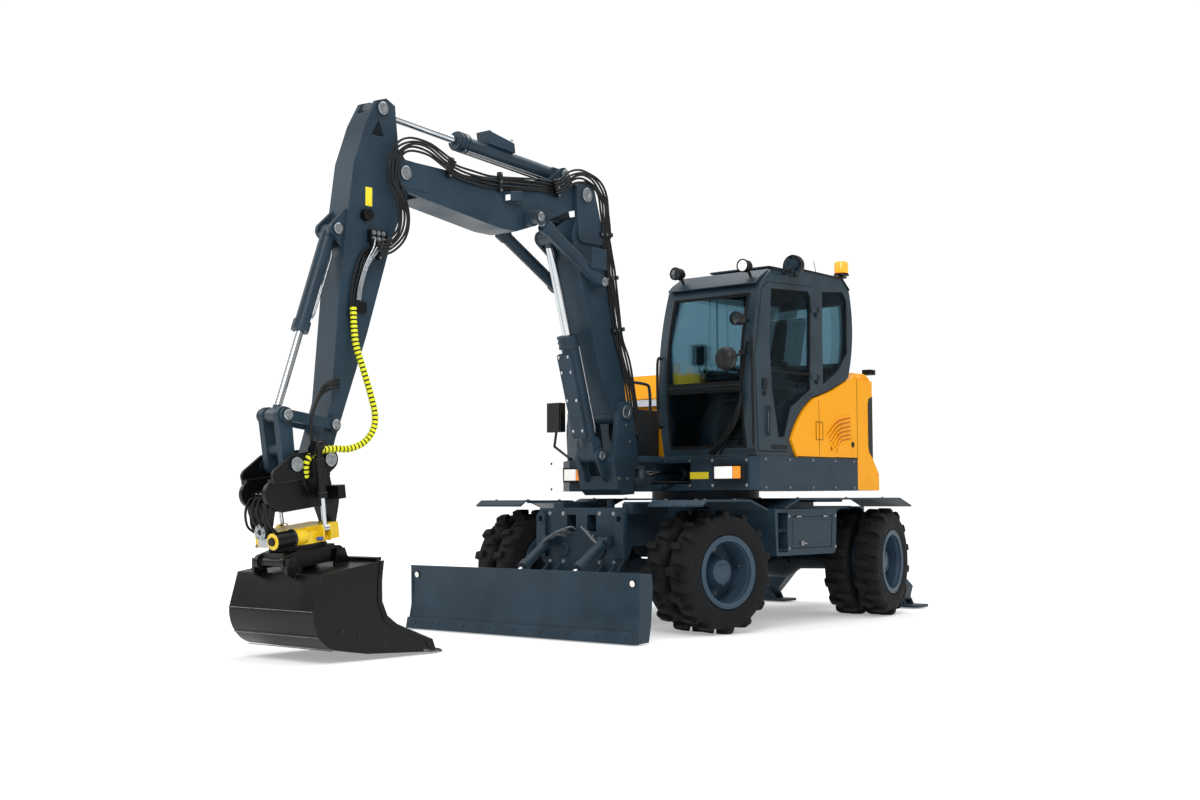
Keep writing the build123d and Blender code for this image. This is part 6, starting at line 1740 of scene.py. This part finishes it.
@dataclass
class Bodywork:
    """Seams, vents, hinges and small lamps of the deck, the side cover, the hood and the tail."""

    tail_radius: float = 1530.0

    def arc_panel(self, low_angle: float, high_angle: float, low: float, high: float, out: float) -> Shape:
        """Return a thin panel on the round tail.

        Args:
            low_angle: Where it starts, in degrees from straight back towards the left.
            high_angle: Where it ends.
            low: Its lower edge.
            high: Its upper edge.
            out: How far it stands out.

        Returns:
            The panel's shape.
        """
        steps = [math.radians(low_angle + (high_angle - low_angle) * i / 12) for i in range(13)]
        inner, outer = self.tail_radius - 4, self.tail_radius + out
        plan = [(outer * math.sin(a), outer * math.cos(a)) for a in steps]
        plan += [(inner * math.sin(a), inner * math.cos(a)) for a in reversed(steps)]
        return Shape().prism(plan, "z", low, high)

    def seams(self) -> None:
        """Draw the gaps between panels as thin dark strips, and the covers' lips."""
        seam = Shape()
        for side in SIDES:
            seam.block((side * 1196, 681, 1432), (side * 1200.8, 687, 2146))
        seam.block((1197, 43, 1456), (1200.8, 48, 1936)).block((1197, 300, 1438), (1200.8, 680, 1443))
        seam.block((-1196, 681, 2221), (150, 687, 2222.5))
        seam.add("panel_seams", RUBBER)
        lip = Shape().prism([(-296, 1431), (684, 1431), (684, 1440), (-300, 1440)], "x", 1200, 1204)
        lip.add("cover_lip", RUBBER, bevel_mm=1)
        plate = Shape().block((1199, 54, 1592), (1203, 98, 1742)).bar((1204, 58, 1596), (1204, 58, 1738), 6,
            20)
        plate.add("cover_hinge", AMBER_ENAMEL, bevel_mm=2, crease=30)
        tubes([[(1203, -6, 1590), (1203, 102, 1590), (1203, 102, 1744), (1203, -6, 1744)]], 2.5,
            "hinge_outline", RUBBER, sides=8, closed=True)
        lock = Shape().lathe([(0, 26), (4, 26), (7, 20), (7, 9), (3, 8), (3, 0)], (1200, 600, 1560),
            (1, 0, 0), 28)
        lock.add("cover_lock", PLASTIC, crease=30)

    def louvres(self) -> None:
        """Lay the curved louvre lips over the side cover's slots, each with a strip of painted shade under
        it.
        """
        field_plate = Shape().prism([(128, 1640), (320, 1800), (576, 1842), (586, 1508), (306, 1474)], "x",
            1199, 1202.5)
        field_plate.add("louvre_plate", AMBER_ENAMEL, bevel_mm=1)
        lips, shades = [], []
        for slot in range(6):
            share = slot / 5
            left = (1203, 158 + 158 * share, 1650 - 142 * share)
            middle = (1207, 322 + 60 * share, 1768 - 172 * share)
            right = (1203, 556 + 8 * share, 1816 - 190 * share)
            lips.append(flowing([left, middle, right], 10))
            shades.append(flowing([tuple(Vector(p) - Vector((1, -5, 15))) for p in (left, middle, right)],
                10))
        tubes(lips, 7, "louvre_lips", AMBER_ENAMEL)
        # Darker strips under the lips: painted shade
        tubes(shades, 4, "louvre_shades", LOUVRE_SHADE, sides=8)
        Shape().block((1160, 210, 1488), (1164, 640, 1800)).add("louvre_back", VENT_MESH)

    def tail(self) -> None:
        """Add the tail's vents, lamps, cameras and lifting eyes, and the rear door's pull."""
        for side, label in NAMED_SIDES:
            self.arc_panel(*sorted((side * 46.0, side * 51.6)), 1440, 2010,
                3).prism([(884, 1985), (949, 2010), (949, 1440), (884, 1500), (872, 1560), (872, 1930)], "x",
                side * 1197, side * 1203).add(f"tail_vent_{label}", VENT_MESH, bevel_mm=1)
            lamp_arc = sorted((side * 24.0, side * 33.0))
            self.arc_panel(*lamp_arc, 1480, 1600, 12).add(f"rear_lamp_{label}", RED_LENS, bevel_mm=4)
            self.arc_panel(*lamp_arc, 1604, 1650, 12).add(f"rear_turn_{label}", AMBER_LENS, bevel_mm=4)
        camera = Shape().block((-60, 1380, 2220), (60, 1470, 2290)).bar((0, 1466, 2255), (0, 1486, 2255), 22,
            24)
        camera.block((1060, 1010, 2219), (1150, 1110, 2268)).bar((1150, 1060, 2244), (1164, 1060, 2244), 16,
            20)
        camera.add("camera_housings", PLASTIC, bevel_mm=6, crease=30)
        eyes = Shape()
        for side in SIDES:
            eyes.lathe([(-12, 44), (12, 44), (12, 24), (-12, 24)], (side * 420, 1100, 2240), (1, 0, 0), 32,
                ring=True)
        eyes.add("lifting_eyes", BLACK_ENAMEL, bevel_mm=2, crease=30)
        handle = flowing([(-70, 1552, 1930), (-66, 1590, 1930), (66, 1590, 1930), (70, 1552, 1930)], 4)
        tubes([handle], 9, "rear_door_pull", PLASTIC, sides=12)

    def hood(self) -> None:
        """Add the exhaust's collar, the hood's front sheets, ribs and catch, and the tank's cap and rail."""
        pipe = Shape().lathe([(0, 48), (6, 52), (14, 52), (20, 46)], (-420, 120, 2222), (0, 0, 1), 32)
        pipe.lathe([(-4, 45), (0, 45), (0, 34), (-30, 34)], (-420, 120, 2356), (0, 0, 1), 32)
        pipe.add("exhaust_collar", ENGINE_METAL, crease=30)
        panel = Shape().prism([(-338, 1998), (-196, 2228), (-189, 2224), (-331, 1994)], "x", -680, -160)
        panel.add("hood_front_sheet", AMBER_ENAMEL, bevel_mm=1)
        pale = Shape().prism([(-344, 1990), (-352, 1988), (-384, 1926), (-376, 1924)], "x", -680, -160)
        pale.add("hood_foot_sheet", GALVANISED, bevel_mm=1)
        ribs = Shape()
        for x in (-900, -450, 0, 450, 900):
            ribs.block((x - 26, 760, 2219), (x + 26, 1180, 2228))
        ribs.add("lid_ribs", AMBER_ENAMEL, bevel_mm=6)
        catch = Shape().block((-1188, 60, 1500), (-1182, 150, 1570)).bar((-1188, 105, 1520),
            (-1196, 105, 1520), 14, 20)
        catch.add("hood_catch", PLASTIC, bevel_mm=2)
        cap = Shape().lathe([(0, 60), (22, 60), (30, 52), (32, 0)], (-700, -600, 1919), (0, 0, 1), 36)
        cap.block((-722, -604, 1950), (-678, -596, 1966))
        cap.add("filler_cap", PLASTIC, bevel_mm=3, crease=30)
        grip = [flowing([(-300, -880, 1600), (-300, -930, 1640), (-300, -930, 2050), (-300, -840, 2120),
            (-300, -500, 2120), (-300, -440, 2060), (-300, -430, 1880)], 5)]
        tubes(grip, 14, "tank_rail", SLATE, sides=14)

    def deck(self) -> None:
        """Bolt the deck's skirt, and set its side lip, plates and the pocket's hoses."""
        heads(flanks(1200, [(y, z) for y in (-780, -420, -60, 300, 620) for z in (1172, 1408)]), 9,
            "skirt_bolts", "upper")
        lip = Shape()
        for side in SIDES:
            start = -860 if side > 0 else -520
            lip.block((side * 1199, start, 1150), (side * 1206, 684, 1162))
            lip.block((side * 1199, start, 1424), (side * 1204, -320, 1432))
        lip.add("skirt_lips", SLATE, bevel_mm=2)
        Shape().block((527, -930, 1246), (722, -925, 1304)).add("bare_plate_nose", PLATE_YELLOW, bevel_mm=1)
        hoses = [flowing([(214 + 24 * i, -1080 - 8 * i, 1219 + i), (260 + 24 * i, -1010, 1219 + i),
            (330 + 24 * i, -900, 1219 + i), (420 + 24 * i, -780, 1219 + i)]) for i in range(4)]
        tubes(hoses, 11, "pocket_hoses", HOSE)
        rail = [(-1180, -560, 1434), (-1180, -560, 1820), (-1180, -380, 1820), (-1180, -380, 1434)]
        tubes([flowing(rail, 5)], 13, "deck_rail", SLATE, sides=14)

    def build(self) -> None:
        """Build all of the bodywork's trim."""
        self.seams()
        self.louvres()
        self.tail()
        self.hood()
        self.deck()


@dataclass
class ArmTrim:
    """The swing post's collar, hose pack and step edge, and the booms' lamp, plates and gland rings."""

    def post(self) -> None:
        """Dress the swing post: its collar, its ribbed hose pack and the pale step edge."""
        shape = Shape().lathe([(0, 96), (8, 100), (16, 96), (16, 52), (0, 52)], (0, -1170, 1448), (0, 0, 1),
            40, ring=True)
        shape.lathe([(0, 60), (10, 60), (14, 54), (14, 0)], (0, -1170, 1482), (0, 0, 1), 32)
        shape.add("swing_pin_collar", ZINC, crease=30)
        pack = bundle([(-60, -1150, 1500), (-60, -1190, 1560), (-40, -1262, 1640), (-20, -1285, 1760)], 2, 46,
            0)
        rings = run_tree(wrap_tree(), lines_mesh(pack), {"Radius": 0.026, "Thickness": 0.006,
            "Spacing": 0.014, "Finish": material_of(HOSE)})
        inner = run_tree(tube_tree(), lines_mesh(pack), {"Radius": 0.025, "Sides": 14,
            "Finish": material_of(HOSE)})
        made = piece(joined([inner, rings]), "post_hose_pack", HOSE, None, crease=50)
        bend(made)
        step = Shape().prism([(-1290, 1458), (-1352, 1562), (-1500, 1562), (-1500, 1556), (-1350, 1556),
            (-1286, 1452)], "x", 168, 209)
        step.add("post_step_edge", GALVANISED, "swing_post", bevel_mm=1)
        heads(flanks(211, ((-1380, 1250), (-1490, 1250), (-1390, 1700), (-1340, 1560))), 12, "post_bolts",
            "swing_post")

    def booms(self) -> None:
        """Add the work lamp, the bare plate, the guards' bolts, the gland rings and the valve cover."""
        lamp = Shape().block((138, -2800, 3400), (150, -2600, 3490)).prism([(-2790, 3400), (-2800, 3478),
            (-2668, 3496), (-2650, 3420)], "x", 150, 214)
        lamp.add("boom_lamp_box", SLATE, "upper_boom", bevel_mm=4, crease=30)
        lens = Shape().block((160, -2804, 3408), (206, -2796, 3452))
        lens.add("boom_lamp_lens", CLEAR_LENS, "upper_boom", bevel_mm=2, crease=30)
        plates = Shape().block((104, -4182, 3176), (106.5, -4120, 3312))
        plates.add("bare_plate_arm", PLATE_YELLOW, "arm", bevel_mm=1)
        foot, eye = BOOM_CYLINDER
        ahead = (eye - foot).normalized()
        heads([((x, (foot + ahead * d).y - 97, (foot + ahead * d).z - 6), (0, -1, 0.2))
            for d in (220, 480, 720, 850) for x in (-50, 50)], 11, "boom_guard_bolts", "boom_barrel")
        heads([((x, y, z), (0, 0.1, 1)) for x in (-50, 50) for y, z in ((-2620, 3930), (-2870, 3962))], 11,
            "arm_guard_bolts", "arm_barrel")
        for name, (base, eye), radius, distances in (
            ("arm", ARM_CYLINDER, 73, (1060, 1100, 1140)),
            ("boom", BOOM_CYLINDER, 84, (940, 985, 1028)),
        ):
            ahead = (eye - base).normalized()
            rings = Shape()
            for distance in distances:
                rings.lathe([(-8, radius), (-8, radius + 5), (8, radius + 5), (8, radius)],
                    base + ahead * distance, ahead, 36, ring=True)
            rings.add(f"{name}_gland_rings", SLATE, f"{name}_barrel", crease=30)
        box = Shape().block((291, -1950, 2960), (312, -1760, 3130))
        box.add("adjust_valve_cover", SLATE, "adjust_barrels", bevel_mm=6)

    def build(self) -> None:
        """Build the arm's trim."""
        self.post()
        self.booms()


@dataclass
class ToolHead:
    """The tilting and rotating head's motor, couplings, hoses and bolts, and the bucket's edges."""

    bucket_half: float = 455.0

    def head(self) -> None:
        """Dress the housing: its motor, side plate, blue caps, bolts and the seal under it."""
        motor = Shape(TOOL_PLACE).lathe([(-8, 62), (0, 62), (4, 57), (150, 57), (158, 50), (158, 30),
            (176, 26), (176, 0)], (158, -170, -58), (0, -1, 0), 36)
        motor.add("tilt_motor", BLACK_ENAMEL, "rotor_housing", crease=30)
        plate = Shape(TOOL_PLACE).block((-96, -254, -112), (60, -248, -20))
        plate.add("bare_plate_head", GALVANISED, "rotor_housing", bevel_mm=1)
        caps = Shape(TOOL_PLACE)
        for x in (-240, -216, 216, 240):
            caps.lathe([(0, 12), (22, 12), (26, 8), (26, 0)], (x, 23, -88), (0, -1, 0), 24)
        caps.add("coupling_caps", BLUE_CAP, "rotor_housing", crease=30)
        heads(lattice((0, -1, 0), (-130, -40, 40, 96), [-246], (-106, -14)), 9, "housing_bolts",
            "rotor_housing", ZINC, TOOL_PLACE)
        heads([((x, y, -34), (0, 0, 1)) for x, y in around(16, 186) if abs(y) > 37], 9, "slew_bolts",
            "rotor_housing", ROTOR_ENAMEL, TOOL_PLACE)
        ring = Shape(TOOL_PLACE).lathe([(-4, 192), (4, 197), (14, 197), (20, 190), (20, 170), (-4, 170)],
            (0, 0, -150), (0, 0, 1), 56, ring=True)
        ring.add("slew_seal", RUBBER, "bucket", crease=30)

    def top_frame(self) -> None:
        """Dress the top frame: its manifold, and the caps and bolts of the tilt bearings."""
        block = Shape(TOOL_PLACE).block((-120, -235, 190), (120, -90, 268)).block((-90, 60, 190),
            (90, 190, 300))
        block.add("head_manifold", BLACK_ENAMEL, "tool_hitch", bevel_mm=4)
        bolts = lattice((0, -1, 0), (-96, -48, 0, 48, 96), [-235], (212, 246))
        bolts += [((x, y * 306, z), (0, y, 0)) for y in (-1, 1) for x, z in around(6, 40)]
        heads(bolts, 10, "head_bolts", "tool_hitch", ZINC, TOOL_PLACE)
        stars = Shape(TOOL_PLACE)
        for y in (-1, 1):
            stars.lathe([(0, 56), (6, 56), (10, 50), (10, 22), (4, 20), (4, 0)], (0, y * 297, 0), (0, y, 0),
                24)
        stars.add("bearing_caps", ZINC, "tool_hitch", crease=30)

    def hoses(self) -> None:
        """Loop the short hoses from the manifold to the tilting housing."""
        loops = []
        for i, x in enumerate((-84, -52, -20, 20, 52, 84)):
            swing = 20 * math.sin(1.9 * i)
            loops.append(flowing([(x, -238, 228), (x * 1.15 + swing, -292, 214),
                (x * 1.35 + swing, -322, 130), (x * 1.5, -306, 40), (x * 1.45, -262, -8)]))
        made = tubes(loops, 9, "head_hoses", HOSE, None, place=TOOL_PLACE)
        bend(made)
        arches = [flowing([(132, -4432, 1860 + 24 * i), (176, -4520, 1850 + 26 * i),
            (186 + 8 * i, -4640, 1790 + 24 * i), (190 + 9 * i, -4716 - 8 * i, 1640),
            (188 + 8 * i, -4716 - 6 * i, 1480), (184, -4690, 1330)]) for i in range(3)]
        made = tubes(arches, 10, "arched_hoses", HOSE, None)
        bend(made)
        for side, label in NAMED_SIDES:
            lines = [flowing([(side * x, 20, 230), (side * (x + 30), -20, 290), (side * (x + 20), -10, 380),
                (side * 206, 30, 470), (side * 226, 44, 520)]) for x in (110, 132)]
            tubes(lines, 8, f"tilt_hoses_{label}", HOSE, "tool_hitch", place=TOOL_PLACE)

    def bucket(self) -> None:
        """Add the bucket's cutting edge, side cutters, pale lines along its folds and side rims, and
        stiffeners.
        """
        half = self.bucket_half
        edge = Shape(TOOL_PLACE).prism([(640, -983), (818, -1017), (806, -993), (640, -962)], "x", -half - 3,
            half + 3)
        edge.add("bucket_edge", BARE_EDGE_STEEL, "bucket", bevel_mm=2)
        strips = Shape(TOOL_PLACE)
        for side in SIDES:
            low, high = sorted((side * (half - 3), side * (half + 7)))
            strips.prism([(350, -286), (316, -420), (300, -560), (334, -665), (412, -738), (725, -908),
                (748, -992), (700, -984), (664, -912), (388, -772), (304, -690), (266, -560), (284, -420),
                (318, -286)], "x", low, high)
        strips.add("bucket_side_edges", BLACK_ENAMEL, "bucket", bevel_mm=3)
        # Thin pale steel lines along the folds and side rims
        folds = [[(x - half + 2, y, z) for x in (0, 2 * half - 4)] for y,
            z in ((-291, -521), (-269, -697), (-155, -807))]
        rims = [[(side * (half + 8), y, z) for y, z in ((350, -286), (316, -420), (300, -560), (334, -665),
            (412, -738), (725, -908), (748, -992))] for side in SIDES]
        tubes(folds + rims, 3, "bucket_pale_fold_lines", BARE_EDGE_STEEL, "bucket", sides=8, place=TOOL_PLACE)
        lip = Shape(TOOL_PLACE).block((-half + 6, 300, -284), (half - 6, 344, -262))
        lip.add("bucket_top_lip", BLACK_ENAMEL, "bucket", bevel_mm=3)
        heads(flanks(half + 1, ((-60, -700), (80, -760), (300, -860))), 12, "bucket_bolts", "bucket",
            BLACK_ENAMEL, TOOL_PLACE)

    def build(self) -> None:
        """Build the head's and the bucket's trim."""
        self.head()
        self.top_frame()
        self.hoses()
        self.bucket()


def main() -> None:
    """Build the dressed machine and its studio."""
    logging.basicConfig(level=logging.INFO, format="%(message)s")
    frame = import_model()
    PaintShop(frame["nodes"]).run()
    for (end, axle_y), turn in zip(AXLE_YS.items(), (-STEERED_DEGREES, STEERED_DEGREES)):
        for _, label in NAMED_SIDES:
            TwinWheel(f"{end}_{label}", axle_y, turn).build()
    for part in (Undercarriage(), Blade(), PinEnds(), HoseRuns(), CabTrim(), Interior(), Bodywork(),
                 ArmTrim(), ToolHead()):
        part.build()
    Studio().build()


if __name__ == "__main__":
    main()
